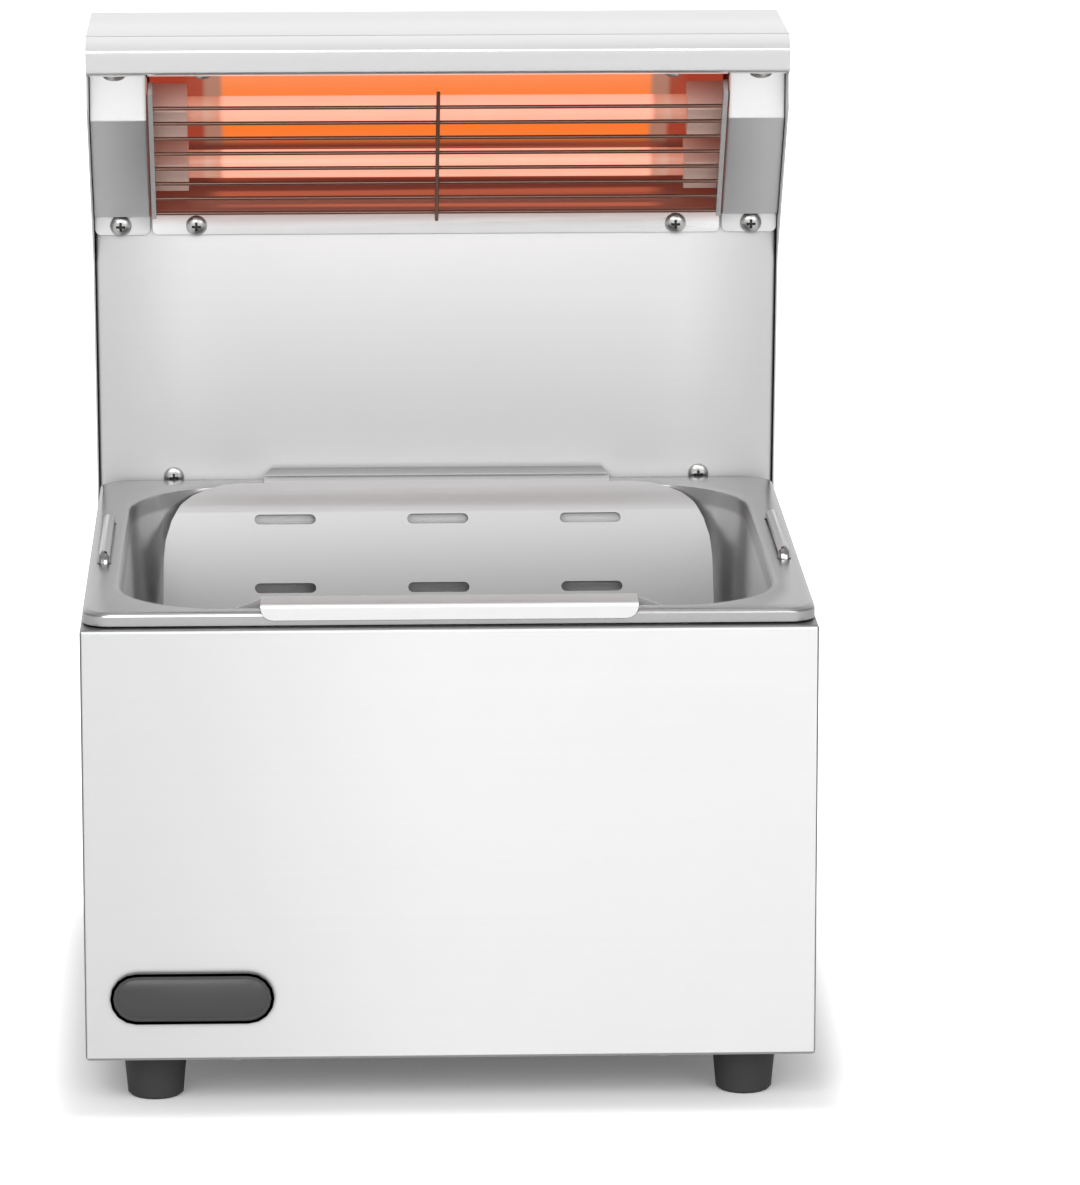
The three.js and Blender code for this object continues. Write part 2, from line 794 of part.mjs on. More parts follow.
// The pan is skinned over rings that follow its section from the floor out over the rim.
function pan() {
  const half = pan_sheet / 2;
  const floor = rim_rise - pan_depth;
  const section = [
    [half, rim_skirt_bottom],
    [half, rim_rise - half, rim_fold_radius],
    [rim_side_width, rim_rise - half, pan_lip_radius],
    [rim_side_width + pan_taper, floor + half, pan_floor_radius],
    [rim_side_width + pan_floor_margin, floor + half],
  ];
  const { left, right } = sheet_sides(bent_line(section), pan_sheet);
  const rings = [...left.reverse(), ...right].map(({ x, y }) =>
    rectangle_ring(pan_outline(Math.max(x, 0)), y),
  );
  const handle_bores = [-1, 1].flatMap((side) =>
    [-1, 1].map((end) =>
      cylinder(wire_hole_radius, -pan_sheet, rim_rise + pan_sheet, screw_sides).translate([
        side * wire_handle_offset, pan_middle + end * handle_leg_offset, 0,
      ]),
    ),
  );
  return piece("pan", without(lofted(rings), ...handle_bores), "polished_steel");
}

// A bent wire handle: its legs pass down through the rim, and its toes stop it pulling out.
function pan_handle(name, side) {
  const x = side * wire_handle_offset;
  const top = rim_rise + seat_gap + wire_handle_radius;
  const underside = rim_rise - pan_sheet;
  const bottom = underside - wire_handle_travel - seat_gap - wire_handle_radius;
  const leg = handle_leg_offset;
  const toe = leg + wire_handle_toe;
  const rear_half = [[leg, top], [leg, bottom], [toe, bottom]];
  const front_half = rear_half.map(([y, z]) => [-y, z]).reverse();
  const path = [...front_half, ...rear_half].map(([y, z]) => new THREE.Vector3(x, pan_middle + y, z));
  return piece(name, wire(path, wire_handle_radius, wire_handle_bend, handle_sides), "polished_steel");
}

// The middle line of the insert, from its back upstand down the chute and up to the front lip.
function insert_path() {
  const half = insert_sheet / 2;
  const lip = rim_rise + seat_gap + half;
  const front_lip = lip + insert_front_rise;
  const back = pan_back - insert_sheet;
  const start = cavity_outline.back - half;
  const bend = start - insert_top_run * Math.cos(insert_top_slope);
  const bend_height = lip - insert_top_run * Math.sin(insert_top_slope);
  const floor = rim_rise - pan_depth + pan_sheet + insert_floor_gap;
  const chute_end = bend - (bend_height - floor) / Math.tan(insert_slope);
  const front = cavity_outline.front + insert_front_gap;
  const hook = pan_front - seat_gap - half;
  return {
    lip,
    front_lip,
    bend,
    bend_height,
    floor,
    chute_end,
    corners: [
      [back, lip + insert_lip_rise],
      [back, lip, fold_radius],
      [start, lip, fold_radius * 2],
      [bend, bend_height, insert_top_bend],
      [chute_end, floor, insert_floor_bend],
      [front + pan_taper, floor, insert_front_bend],
      [front, front_lip, fold_radius],
      [hook, front_lip, fold_radius],
      [hook, front_lip - insert_skirt],
    ],
  };
}

function insert_slots(path) {
  const cuts = [];
  const length = (slot_length - slot_width) / 2;
  const one_slot = (x) => {
    const radius = slot_width / 2;
    const radii = [radius, radius, radius, radius];
    const shape = rounded_rectangle(x - length - radius, -radius, x + length + radius, radius, radii);
    return plan_prism(shape, -slot_cut_depth, slot_cut_depth);
  };
  [-slot_column_pitch, 0, slot_column_pitch].forEach((x) => {
    for (let row = 0; row < slot_row_count; row += 1) {
      const run = slot_first_run + slot_row_pitch * row;
      const y = path.bend - run * Math.cos(insert_slope);
      const z = path.bend_height - run * Math.sin(insert_slope);
      const tilt = THREE.MathUtils.radToDeg(insert_slope);
      cuts.push(one_slot(x).rotate([tilt, 0, 0]).translate([0, y, z]));
    }
    for (let row = 0; row < floor_slot_row_count; row += 1) {
      const y = cavity_outline.front + floor_slot_setback + slot_row_pitch * row;
      cuts.push(one_slot(x).translate([0, y, path.floor]));
    }
  });
  return cuts;
}

function drain_insert() {
  const path = insert_path();
  const half_width = half_pan - insert_side_inset;
  const half_lip = half_pan - insert_lip_inset;
  const strip = side_prism(folded(path.corners, insert_sheet, bend_steps), -half_width, half_width);
  const inside = inset_rectangle(cavity_outline, insert_edge_gap);
  inside.front = cavity_outline.front + insert_front_gap - insert_edge_gap;
  const low = rim_rise - pan_depth;
  const high = path.lip + insert_lip_rise + insert_sheet;
  const chamfer = insert_lip_chamfer;
  const back_view = outline([
    [-half_lip, low],
    [half_lip, low],
    [half_lip, high - chamfer],
    [half_lip - chamfer, high],
    [chamfer - half_lip, high],
    [-half_lip, high - chamfer],
  ]);
  const skirt_low = path.front_lip - insert_skirt;
  const corner = insert_skirt_corner;
  const skirt = rounded_rectangle(-half_lip, skirt_low, half_lip, high, [corner, corner, 0, 0]);
  const lip_region = rounded_rectangle(-half_lip, low, half_lip, high, [0, 0, 0, 0]);
  const region = join(
    lofted([
      rectangle_ring(inset_rectangle(inside, pan_taper + pan_sheet), low),
      rectangle_ring(inside, rim_rise),
      rectangle_ring(inside, high),
    ]),
    front_prism(back_view, inside.back - insert_lip_overlap, pan_back),
    front_prism(skirt, -insert_sheet, pan_front + insert_sheet),
    front_prism(lip_region, pan_front, inside.front + insert_lip_overlap),
  );
  const plan = plan_prism(insert_plan(half_width, half_lip), low, high);
  const plate = strip.intersect(region).intersect(plan);
  const cuts = [...insert_shoulders(path, half_width, half_lip), ...insert_slots(path)];
  return piece("drain_insert", without(plate, ...cuts), "polished_steel");
}

// The insert seen from above: its back corners are quarter ellipses that end at the back lip.
function insert_plan(half_width, half_lip) {
  const corner_y = cavity_outline.back - insert_corner_depth;
  const run = half_width - half_lip;
  const corner = [];
  for (let step = 0; step <= corner_steps; step += 1) {
    const angle = ((Math.PI / 2) * step) / corner_steps;
    const x = half_lip + run * Math.cos(angle);
    corner.push([x, corner_y + insert_corner_depth * Math.sin(angle)]);
  }
  const right = [[half_width, -insert_sheet * 2], ...corner, [half_lip, pan_back]];
  const left = right.map(([x, y]) => [-x, y]).reverse();
  return outline([...right, ...left]);
}

// Beside the front lip the insert's front wall slopes down to end below the pan's rim.
function insert_shoulders(path, half_width, half_lip) {
  const high = path.front_lip + insert_sheet;
  const low = rim_rise - insert_shoulder_drop;
  const outside = half_width + insert_sheet;
  const back = cavity_outline.front + insert_front_gap + insert_lip_overlap;
  const right = [
    [half_lip, high],
    [half_lip, path.front_lip - insert_sheet],
    [half_lip + insert_shoulder_run, low],
    [outside, low],
    [outside, high],
  ];
  const left = right.map(([x, y]) => [-x, y]).reverse();
  return [left, right].map((points) => front_prism(outline(points), pan_front, back));
}

function gland_place(y) {
  return [gland_side_inset - half_body, y, gland_rise - body_height];
}

// The back of the whole station in one sheet, with side cheeks that reach forward at the hood.
function rear_shell() {
  const top = hood_rise - sheet - seat_gap;
  const front = station_depth - cheek_front;
  const cheek = outline([
    [deck_back, -body_height],
    [deck_back, 0],
    [station_depth - cheek_foot_end_depth, cheek_foot_end],
    [station_depth - cheek_slant_end_depth, cheek_slant_end],
    [station_depth - cheek_slant_start_depth, cheek_slant_start],
    [front, cheek_straight_end],
    [front, top - cheek_bevel_rise],
    [front + cheek_bevel_run, top],
    [station_depth - shell_top_chamfer, top],
    [station_depth, top - shell_top_chamfer],
    [station_depth, -body_height],
  ]);
  const whole = side_prism(cheek, -half_station, half_station);
  const inner = half_station - sheet;
  const hollow = block([-inner, 0, -body_height - sheet], [inner, skin_inner, hood_rise]);
  const half_wide = switch_opening_width / 2;
  const half_high = switch_opening_height / 2;
  const behind = station_depth + sheet;
  const switch_hole = block(
    [switch_x - half_wide, skin_inner - sheet, switch_z - half_high],
    [switch_x + half_wide, behind, switch_z + half_high],
  );
  const gland_hole = cylinder(gland_thread_radius + bore_play, -behind, -skin_inner + sheet)
    .rotate([forward, 0, 0])
    .translate(gland_place(0));
  const shell = without(whole, hollow, switch_hole, gland_hole);
  return piece("rear_shell", bored(shell, "shell_screw"), "brushed_steel");
}

// The column's leaning front sheet, with rounded vertical edges turned back.
function splash_panel() {
  const half = sheet / 2;
  const x = half_body - half;
  const front = deck_back + half;
  const back = front + splash_side_return;
  const path = [
    [-x, back],
    [-x, front, splash_edge_radius],
    [x, front, splash_edge_radius],
    [x, back],
  ];
  const sheared = new THREE.Matrix4().set(1, 0, 0, 0, 0, 1, -column_lean, 0, 0, 0, 1, 0, 0, 0, 0, 1);
  const upright = extruded(folded(path, sheet), splash_foot_gap, splash_top);
  const panel = solid(upright.applyMatrix4(sheared));
  return piece("splash_panel", bored(panel, "splash_screw", "band_screw"), "brushed_steel");
}

function hood_cover() {
  const half = sheet / 2;
  const front = station_depth - hood_overhang + half;
  const top = hood_rise - half;
  const back = station_depth + seat_gap + half;
  const path = [
    [back, hood_rise - hood_back_lip],
    [back, top, fold_radius],
    [front + hood_bevel_run, top, fold_radius],
    [front, cheek_top + hood_nose_height, fold_radius],
    [front, cheek_top + half, fold_radius],
    [front + hood_return_flange, cheek_top + half],
  ];
  const cover = side_prism(folded(path, sheet), -half_station, half_station);
  const notch_front = station_depth - cheek_front - seat_gap;
  const notch_back = front + hood_return_flange + sheet;
  const notch = (from, to) =>
    block([from, notch_front, cheek_top - sheet], [to, notch_back, cheek_top + sheet * 2]);
  const outside = half_station + sheet;
  const open = without(cover, notch(-outside, -half_body), notch(half_body, outside));
  return piece("hood_cover", bored(open, "hood_screw", "shell_screw_high"), "brushed_steel");
}

const flange_height = cheek_top - seat_gap - sheet / 2;
const flange_front = station_depth - cheek_front + sheet;

function on_column(height) {
  return [column_front(height) - seat_gap - sheet / 2, height];
}

// Rounds the two lower corners of a sheet that ends on the band below the heater.
function band_cornered(shape, left, right) {
  const radii = [band_corner_radius, band_corner_radius, 0, 0];
  const view = rounded_rectangle(left, band_bottom, right, hood_rise, radii);
  return shape.intersect(front_prism(view, station_depth - hood_overhang, station_depth));
}

// Covers the lamp terminals beside the heater.
function terminal_cover(name, side) {
  const face = station_depth - cover_setback + sheet / 2;
  const path = [
    [flange_front, flange_height],
    [face, flange_height, fold_radius],
    [face, cover_fold, fold_radius],
    [station_depth - cover_toe_depth, cover_toe, fold_radius],
    [...on_column(cover_toe), fold_radius],
    on_column(band_bottom),
  ];
  const near = half_body - cover_width;
  const far = half_body - seat_gap;
  const span = side < 0 ? [-far, -near] : [near, far];
  const cover = band_cornered(side_prism(folded(path, sheet), ...span), ...span);
  return piece(name, bored(cover, "band_screw_outer", "hood_screw_outer"), "brushed_steel");
}

function trough_corners() {
  const high = in_opening(trough_floor_margin, trough_depth);
  const low = in_opening(guard_length - trough_floor_margin, trough_depth);
  return { high, low };
}

function reflector() {
  const { high, low } = trough_corners();
  const path = [
    [flange_front, flange_height],
    [high.x - trough_shoulder, flange_height, fold_radius],
    [high.x, high.y, fold_radius],
    [low.x, low.y, fold_radius],
    [...on_column(cover_toe), fold_radius],
    on_column(band_bottom),
  ];
  const span = [-trough_half_width, trough_half_width];
  const trough = band_cornered(side_prism(folded(path, sheet), ...span), ...span);
  return piece("reflector", bored(trough, "band_screw_inner", "hood_screw_inner"), "mirror_aluminium");
}

// Closes an end of the reflector and carries two lamp holders.
function reflector_end(name, side) {
  const { high, low } = trough_corners();
  const top = flange_height - sheet;
  const foot = in_opening(guard_bar_end, 0);
  const mouth = in_opening(0, 0);
  const [toe_y, toe_z] = on_column(cover_toe);
  const shape = outline([
    [mouth.x, mouth.y],
    [foot.x, foot.y],
    [toe_y, toe_z + sheet * 2],
    [low.x, low.y],
    [high.x, high.y],
    [high.x - trough_shoulder, top],
    [mouth.x, top],
  ]);
  const inner = trough_half_width + seat_gap;
  const outer = inner + sheet;
  const span = side < 0 ? [-outer, -inner] : [inner, outer];
  const holes = lamp_axes().map(({ x, y }) =>
    cylinder(lead_hole_radius, -outer - sheet, outer + sheet, screw_sides)
      .rotate([0, forward, 0])
      .translate([0, x, y]),
  );
  return piece(name, without(side_prism(shape, ...span), ...holes), "mirror_aluminium");
}

function lamp_axes() {
  return [lamp_first, lamp_first + lamp_pitch].map((down) => in_opening(down, lamp_setback));
}

// A part turned about a lamp's axis, drawn along z and laid along x.
function along_lamp(shape, axis) {
  return shape.rotate([0, forward, 0]).translate([0, axis.x, axis.y]);
}

function lamps() {
  const half = trough_half_width - holder_length + holder_bore_depth - lamp_end_gap;
  const inner = lamp_radius - lamp_wall;
  const tube = [
    [inner, -half],
    [lamp_radius, -half],
    [lamp_radius, half],
    [inner, half],
    [inner, -half],
  ];
  const element_half = half + holder_bore_gap / 2;
  return lamp_axes().flatMap((axis, index) => {
    const place = index ? "lower" : "upper";
    const element = cylinder(element_radius, -element_half, element_half, wire_sides);
    return [
      piece(`quartz_lamp_${place}`, along_lamp(turned_part(tube), axis), "milky_quartz"),
      piece(`lamp_element_${place}`, along_lamp(element, axis), "heating_coil"),
    ];
  });
}

// Ceramic blocks that hold the lamp ends; each has a bore for the tube and a vent for its lead.
function lamp_holders() {
  const tilt = THREE.MathUtils.radToDeg(Math.atan2(guard_way.y, guard_way.x));
  const half = holder_side / 2;
  const outer = trough_half_width;
  const inner = outer - holder_length;
  const floor = inner + holder_bore_depth;
  return lamp_axes().flatMap((axis, index) =>
    [["left", -1], ["right", 1]].map(([side, way]) => {
      const low = Math.min(way * inner, way * outer);
      const high = Math.max(way * inner, way * outer);
      const box = block([low, -half, -half], [high, half, half]).rotate([tilt, 0, 0]);
      const bore_low = Math.min(way * (inner - sheet), way * floor);
      const bore_high = Math.max(way * (inner - sheet), way * floor);
      const bore = cylinder(lamp_radius + holder_bore_gap, bore_low, bore_high);
      const vent_low = Math.min(way * (floor - sheet), way * (outer + sheet));
      const vent_high = Math.max(way * (floor - sheet), way * (outer + sheet));
      const vent = cylinder(holder_vent_radius, vent_low, vent_high, screw_sides);
      const laid_bore = bore.rotate([0, forward, 0]);
      const laid_vent = vent.rotate([0, forward, 0]);
      const holder = without(box, laid_bore, laid_vent).translate([0, axis.x, axis.y]);
      const place = index ? "lower" : "upper";
      return piece(`lamp_holder_${place}_${side}`, holder, "ceramic");
    }),
  );
}

// The wire guard across the heater, welded to a bar at each end.
function lamp_guard() {
  const outer = trough_half_width;
  const inner = outer - guard_bar_width;
  const corners = [
    in_opening(-guard_bar_overrun, -guard_bar_proud),
    in_opening(guard_bar_end, -guard_bar_proud),
    in_opening(guard_bar_end, guard_bar_depth),
    in_opening(-guard_bar_overrun, guard_bar_depth),
  ];
  const bar_shape = outline(corners.map(({ x, y }) => [x, y]));
  const bars = [side_prism(bar_shape, -outer, -inner), side_prism(bar_shape, inner, outer)];
  const wires = [];
  for (let count = 0; count < guard_wire_count; count += 1) {
    const axis = in_opening(guard_first_wire + guard_wire_pitch * count, 0);
    const reach = inner + guard_wire_overrun;
    wires.push(along_lamp(cylinder(guard_wire_radius, -reach, reach, wire_sides), axis));
  }
  const tilt = THREE.MathUtils.radToDeg(Math.atan2(guard_way.y, guard_way.x)) + forward;
  const cross_place = in_opening(0, -guard_cross_offset);
  const cross = cylinder(guard_wire_radius, -guard_cross_end, guard_cross_start, wire_sides)
    .rotate([tilt, 0, 0])
    .translate([0, cross_place.x, cross_place.y]);
  return piece("lamp_guard", join(...bars, ...wires, cross), "polished_steel");
}

// A snap-in rocker switch in the back wall.
function rocker_outline() {
  const face = rocker_height / 2;
  const shape = new THREE.Shape();
  const edge = Math.asin(rocker_proud / face);
  const back = Math.acos(rocker_back_share);
  shape.absarc(0, 0, face, edge, Math.PI - back, false);
  shape.absarc(0, 0, face, Math.PI + back, Math.PI * 2 - edge, false);
  shape.lineTo(rocker_proud * rocker_dip_share, 0);
  shape.closePath();
  return shape;
}

function rocker_pivot() {
  return { y: station_depth + switch_bezel_thickness - rocker_proud, z: switch_z };
}

function switch_rocker() {
  const half = rocker_width / 2;
  const { y, z } = rocker_pivot();
  const rocker = side_prism(rocker_outline(), -half, half)
    .rotate([THREE.MathUtils.radToDeg(rocker_tilt), 0, 0])
    .translate([switch_x, y, z]);
  return piece("switch_rocker", rocker, "black_plastic");
}

function switch_housing() {
  const { y, z } = rocker_pivot();
  const wide = switch_bezel_width / 2;
  const high = switch_bezel_height / 2;
  const body_wide = switch_opening_width / 2 - seat_gap;
  const body_high = switch_opening_height / 2 - seat_gap;
  const outside = station_depth + seat_gap;
  const bezel = block(
    [switch_x - wide, outside, z - high],
    [switch_x + wide, outside + switch_bezel_thickness, z + high],
  );
  const body = block(
    [switch_x - body_wide, station_depth - switch_body_depth, z - body_high],
    [switch_x + body_wide, outside, z + body_high],
  );
  const recess_radius = rocker_height / 2 + seat_gap;
  const half = rocker_width / 2 + seat_gap;
  const well = cylinder(recess_radius, -half, half, rocker_sides)
    .rotate([0, forward, 0])
    .translate([switch_x, y, z]);
  const mouth = block(
    [switch_x - half, y, z - recess_radius],
    [switch_x + half, y + switch_body_depth, z + recess_radius],
  );
  return piece("switch_housing", without(join(bezel, body), well, mouth), "black_plastic");
}

// A cable gland whose cord is left out, with the nut that holds it inside the wall.
function cable_gland() {
  const flange = cylinder(gland_hex_radius, seat_gap, gland_hex_length, hexagon);
  const dome_end = gland_hex_length + gland_dome_length;
  const dome_start = gland_hex_length - sheet;
  const dome = turned_part([
    [0, dome_start],
    [gland_dome_radius, dome_start],
    [gland_dome_radius, dome_end - gland_dome_tip],
    [gland_dome_tip, dome_end],
    [0, dome_end],
  ]);
  const thread = cylinder(gland_thread_radius, -gland_thread_length, seat_gap + sheet);
  const bore = cylinder(gland_bore_radius, -gland_thread_length - sheet, dome_end + sheet);
  const nut_face = -sheet - seat_gap;
  const nut_back = nut_face - gland_nut_length;
  const nut_ring = cylinder(gland_hex_radius, nut_back, nut_face, hexagon);
  const nut_bore = cylinder(gland_thread_radius + bore_play, nut_back - sheet, nut_face + sheet);
  const place = (shape) => shape.rotate([backward, 0, 0]).translate(gland_place(station_depth));
  return [
    piece("cable_gland", place(without(join(flange, dome, thread), bore)), "black_plastic"),
    piece("gland_nut", place(without(nut_ring, nut_bore)), "black_plastic"),
  ];
}

// The mains terminal block on the base plate, with a screw well for each pole.
function terminal_block() {
  const low = base_top + seat_gap;
  const high = low + terminal_height;
  const half = terminal_length / 2;
  const left = terminal_side_inset - half_body - half;
  const y = station_depth - terminal_setback;
  const body = block(
    [left, y - terminal_depth / 2, low],
    [left + terminal_length, y + terminal_depth / 2, high],
  );
  const pitch = terminal_length / terminal_pole_count;
  const wells = [];
  for (let pole = 0; pole < terminal_pole_count; pole += 1) {
    const x = left + pitch * (pole + 1 / 2);
    const well = cylinder(terminal_screw_well, high - terminal_well_depth, high + sheet, screw_sides);
    wells.push(well.translate([x, y, 0]));
  }
  return piece("terminal_block", without(body, ...wells), "ceramic");
}

// The lead from the terminal block up to the switch.
function switch_lead() {
  const z = base_top + terminal_height / 2;
  const start = station_depth - terminal_setback + terminal_depth / 2 + seat_gap;
  const turn = station_depth - switch_body_depth - lead_turn;
  const end = station_depth - switch_body_depth - seat_gap;
  const x = switch_x - lead_side_step;
  const path = [
    new THREE.Vector3(x, start, z),
    new THREE.Vector3(x, turn, z),
    new THREE.Vector3(x, turn, switch_z),
    new THREE.Vector3(x, end, switch_z),
  ];
  return piece("switch_lead", wire(path, lead_radius, lead_bend, hexagon), "lead_sleeve");
}

// The lead from the switch up inside the column to the left ends of the lamps.
function lamp_lead() {
  const [lamp] = lamp_axes();
  const behind = skin_inner - seat_gap - lead_radius;
  const turn = station_depth - switch_body_depth - lead_turn;
  const from = station_depth - switch_body_depth - seat_gap;
  const riser_x = switch_x + lead_riser_step;
  const side_x = -trough_half_width - lead_riser_step / 2;
  const end_x = -trough_half_width - seat_gap * 2 - sheet;
  const start_x = switch_x + lead_side_step;
  const points = [
    [start_x, from, switch_z],
    [start_x, turn, switch_z],
    [riser_x, turn, switch_z],
    [riser_x, behind, switch_z],
    [riser_x, behind, lead_crossing_rise],
    [side_x, behind, lead_crossing_rise],
    [side_x, lamp.x, lamp.y],
    [end_x, lamp.x, lamp.y],
  ];
  const path = points.map((point) => new THREE.Vector3(...point));
  return piece("lamp_lead", wire(path, lead_radius, lead_bend, hexagon), "lead_sleeve");
}

function assembled() {
  const inner = new THREE.Group();
  inner.add(
    body_wrap(),
    base_plate(),
    ...feet(),
    badge_plate(),
    rear_rail(),
    pan(),
    pan_handle("pan_handle_left", -1),
    pan_handle("pan_handle_right", 1),
    drain_insert(),
    rear_shell(),
    splash_panel(),
    hood_cover(),
    terminal_cover("terminal_cover_left", -1),
    terminal_cover("terminal_cover_right", 1),
    reflector(),
    reflector_end("reflector_end_left", -1),
    reflector_end("reflector_end_right", 1),
    ...lamps(),
    ...lamp_holders(),
    lamp_guard(),
    switch_housing(),
    switch_rocker(),
    ...cable_gland(),
    terminal_block(),
    switch_lead(),
    lamp_lead(),
    ...screw_pieces(),
  );
  const bounds = new THREE.Box3().setFromObject(inner);
  const centre = bounds.getCenter(new THREE.Vector3());
  inner.position.set(-centre.x, -centre.y, -bounds.min.z);
  const station = new THREE.Group();
  station.name = "chip_dump_station";
  station.add(inner);
  return station;
}

export default assembled();
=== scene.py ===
"""The looks of a countertop chip dump station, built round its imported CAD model.

Lengths are metres in the model's own frame: x to the right, y to the back, z up from the table.
A span is a pair of values: where a change starts and where it is complete.
"""

import json
import math

import bmesh
import bpy
from mathutils import Matrix, Vector


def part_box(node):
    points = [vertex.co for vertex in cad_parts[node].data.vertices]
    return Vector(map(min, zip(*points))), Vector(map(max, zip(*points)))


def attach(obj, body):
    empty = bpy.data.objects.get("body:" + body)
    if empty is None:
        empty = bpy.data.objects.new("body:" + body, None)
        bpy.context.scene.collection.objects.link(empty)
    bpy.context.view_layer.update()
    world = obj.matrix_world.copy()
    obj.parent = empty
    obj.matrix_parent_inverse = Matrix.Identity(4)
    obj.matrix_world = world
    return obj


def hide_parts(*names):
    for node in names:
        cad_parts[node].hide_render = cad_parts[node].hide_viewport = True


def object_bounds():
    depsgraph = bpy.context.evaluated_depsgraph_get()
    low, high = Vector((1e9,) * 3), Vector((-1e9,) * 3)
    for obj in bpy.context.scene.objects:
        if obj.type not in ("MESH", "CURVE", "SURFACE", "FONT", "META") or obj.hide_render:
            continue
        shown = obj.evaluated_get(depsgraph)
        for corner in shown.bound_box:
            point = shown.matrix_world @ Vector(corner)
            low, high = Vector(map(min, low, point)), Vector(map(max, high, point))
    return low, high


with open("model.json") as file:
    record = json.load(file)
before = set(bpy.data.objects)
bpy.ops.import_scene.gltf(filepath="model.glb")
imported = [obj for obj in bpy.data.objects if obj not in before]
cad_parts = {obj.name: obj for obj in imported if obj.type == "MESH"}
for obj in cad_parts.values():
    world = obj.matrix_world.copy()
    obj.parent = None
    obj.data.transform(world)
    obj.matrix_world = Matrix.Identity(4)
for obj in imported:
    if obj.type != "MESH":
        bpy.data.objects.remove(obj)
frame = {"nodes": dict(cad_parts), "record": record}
cad_low, cad_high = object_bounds()

mm = 0.001
up = Vector((0, 0, 1))
rearward = Vector((0, 1, 0))
rightward = Vector((1, 0, 0))

# Camera, worked out from the pan's standard size and the lines of the photograph
camera_x = -65.7 * mm
camera_y = -3300.4 * mm
camera_height = 945.4 * mm
view_right = 0.0349
view_down = 0.2204
image_long_side = 1185
focal_pixels = 6660
sensor_width = 36
nearest_seen = 0.1
farthest_seen = 50

# Shading of the CAD's facets
smooth_angle = math.radians(28)
edge_angle = math.radians(40)
merge_distance = 0.004 * mm
flat_angle = math.radians(0.6)
sheet_edge = 0.18 * mm
moulded_edge = 0.5 * mm
edge_segments = 2

# Badge
badge_front_cosine = 0.99
badge_rim = 1.5 * mm
badge_rim_slope = 0.35 * mm
badge_rim_height = 0.3 * mm

# Heights of body and pan, and the gap that is opened under the pan's rim
body_top = 239.8 * mm
rim_top = 247.3 * mm
rim_skirt_end = 240.05 * mm
rim_skirt_tolerance = 0.05 * mm
rim_shadow_gap = 0.8 * mm

# Screw heads: counts, then shares of the head's radius or of its dome's height
head_sides = 32
dome_rings = 6
seat_radius_share = 0.97
shank_share = 0.36
recess_length_share = 1.16
recess_width_share = 0.24
recess_depth_share = 0.62
recess_floor_share = 0.55
cutter_height_share = 1.5

# How far the column leans forward over each unit of its height
column_slope = 0.13

# Finish colours, as linear light
black = (0.0, 0.0, 0.0)
steel_colour = (0.74, 0.74, 0.745)
column_colour = (0.79, 0.79, 0.795)
hood_colour = (0.96, 0.96, 0.965)
# Painted shade: a darker copy of the hood's steel, for the covers' shaded slanted faces
cover_shaded_colour = (0.80, 0.80, 0.805)
pan_colour = (0.43, 0.43, 0.435)
insert_colour = (0.84, 0.838, 0.842)
screw_colour = (0.52, 0.52, 0.51)
reflector_colour = (0.94, 0.94, 0.94)
# Dark base of the trough, under its painted glow
trough_colour = (0.20, 0.10, 0.075)
end_colour = (0.50, 0.20, 0.15)
bar_colour = (0.88, 0.87, 0.86)
guard_colour = (0.24, 0.135, 0.105)
# Painted shade that darkens narrow gaps
crevice_shade_colour = (0.05, 0.05, 0.05)
# Painted shade inside the screws' cross recesses
recess_shade_colour = (0.06, 0.06, 0.06)
rubber_colour = (0.030, 0.030, 0.031)
badge_colour = (0.040, 0.040, 0.042)
black_colour = (0.012, 0.012, 0.013)
sleeve_colour = (0.30, 0.29, 0.26)
ceramic_colour = (0.62, 0.42, 0.36)
terminal_colour = (0.72, 0.70, 0.66)
lamp_hot_colour = (1.0, 0.46, 0.35)
lamp_cool_colour = (0.40, 0.12, 0.07)
lamp_body_colour = (0.34, 0.22, 0.18)
coil_colour = (1.0, 0.42, 0.12)
# Colours of the glow painted on the reflector, standing for the lamps' light on it; the band
# colour also dims the lamps' own glow near their ends
glow_top_colour = (1.0, 0.27, 0.09)
glow_middle_colour = (1.0, 0.21, 0.03)
glow_low_colour = (0.12, 0.022, 0.014)
glow_end_colour = (0.36, 0.05, 0.025)
glow_band_colour = (0.40, 0.20, 0.14)
reflection_streak_colour = (0.42, 0.085, 0.04)

# Shares of a lamp's hot colour that its deeper patches keep
lamp_patch_shares = (1.0, 0.86, 0.78)

# Noises: how fine, how many layers deep and how rough
brush_noise = (1.0, 3.0, 0.6)
handling_noise = (9.0, 3.0, 0.55)
moulding_noise = (900.0, 2.0, 0.5)
cloud_noise = (40.0, 3.0, 0.6)
lamp_noise = (55.0, 2.0, 0.5)
wire_noise = (300.0, 2.0, 0.5)
streak_noise = (1.0, 1.0, 0.5)

# Share of the handling marks among the brush lines, and strengths of the bumps
handling_share = 0.4
metal_bump = 0.12
moulded_bump = 0.25

# How tightly brush lines and streaks are packed along x, y and z
level_lines = (2, 60, 900)
deep_lines = (900, 3, 900)
bright_lines = (3, 420, 420)
streak_lines = (2, 260, 260)

# Painted shade in narrow gaps
crevice_reach = 3 * mm
crevice_samples = 6
crevice_span = (0.25, 0.80)

# Painted light and shade on each sheet's parts, as shares of its colour
# Painted light and shade on the body's front, folds, hem and ledge
body_left_shade = 0.90
body_middle_light = 1.06
body_fold_shade = 0.22
body_hem_shadow = 0.35
body_ledge_shade = 0.40
# Painted shade towards the column's sides
column_side_shade = 0.74
# Painted shade on the hood's front lip
hood_front_shade = 0.66
# Painted shade towards the pan's floor and painted light on its walls
pan_floor_shade = 0.75
pan_wall_light = 1.6
# Painted light and shade down the insert's chute and on its lips
chute_low_shade = 0.375
chute_high_light = 0.79
front_lip_light = 0.90
back_lip_shade = 0.42

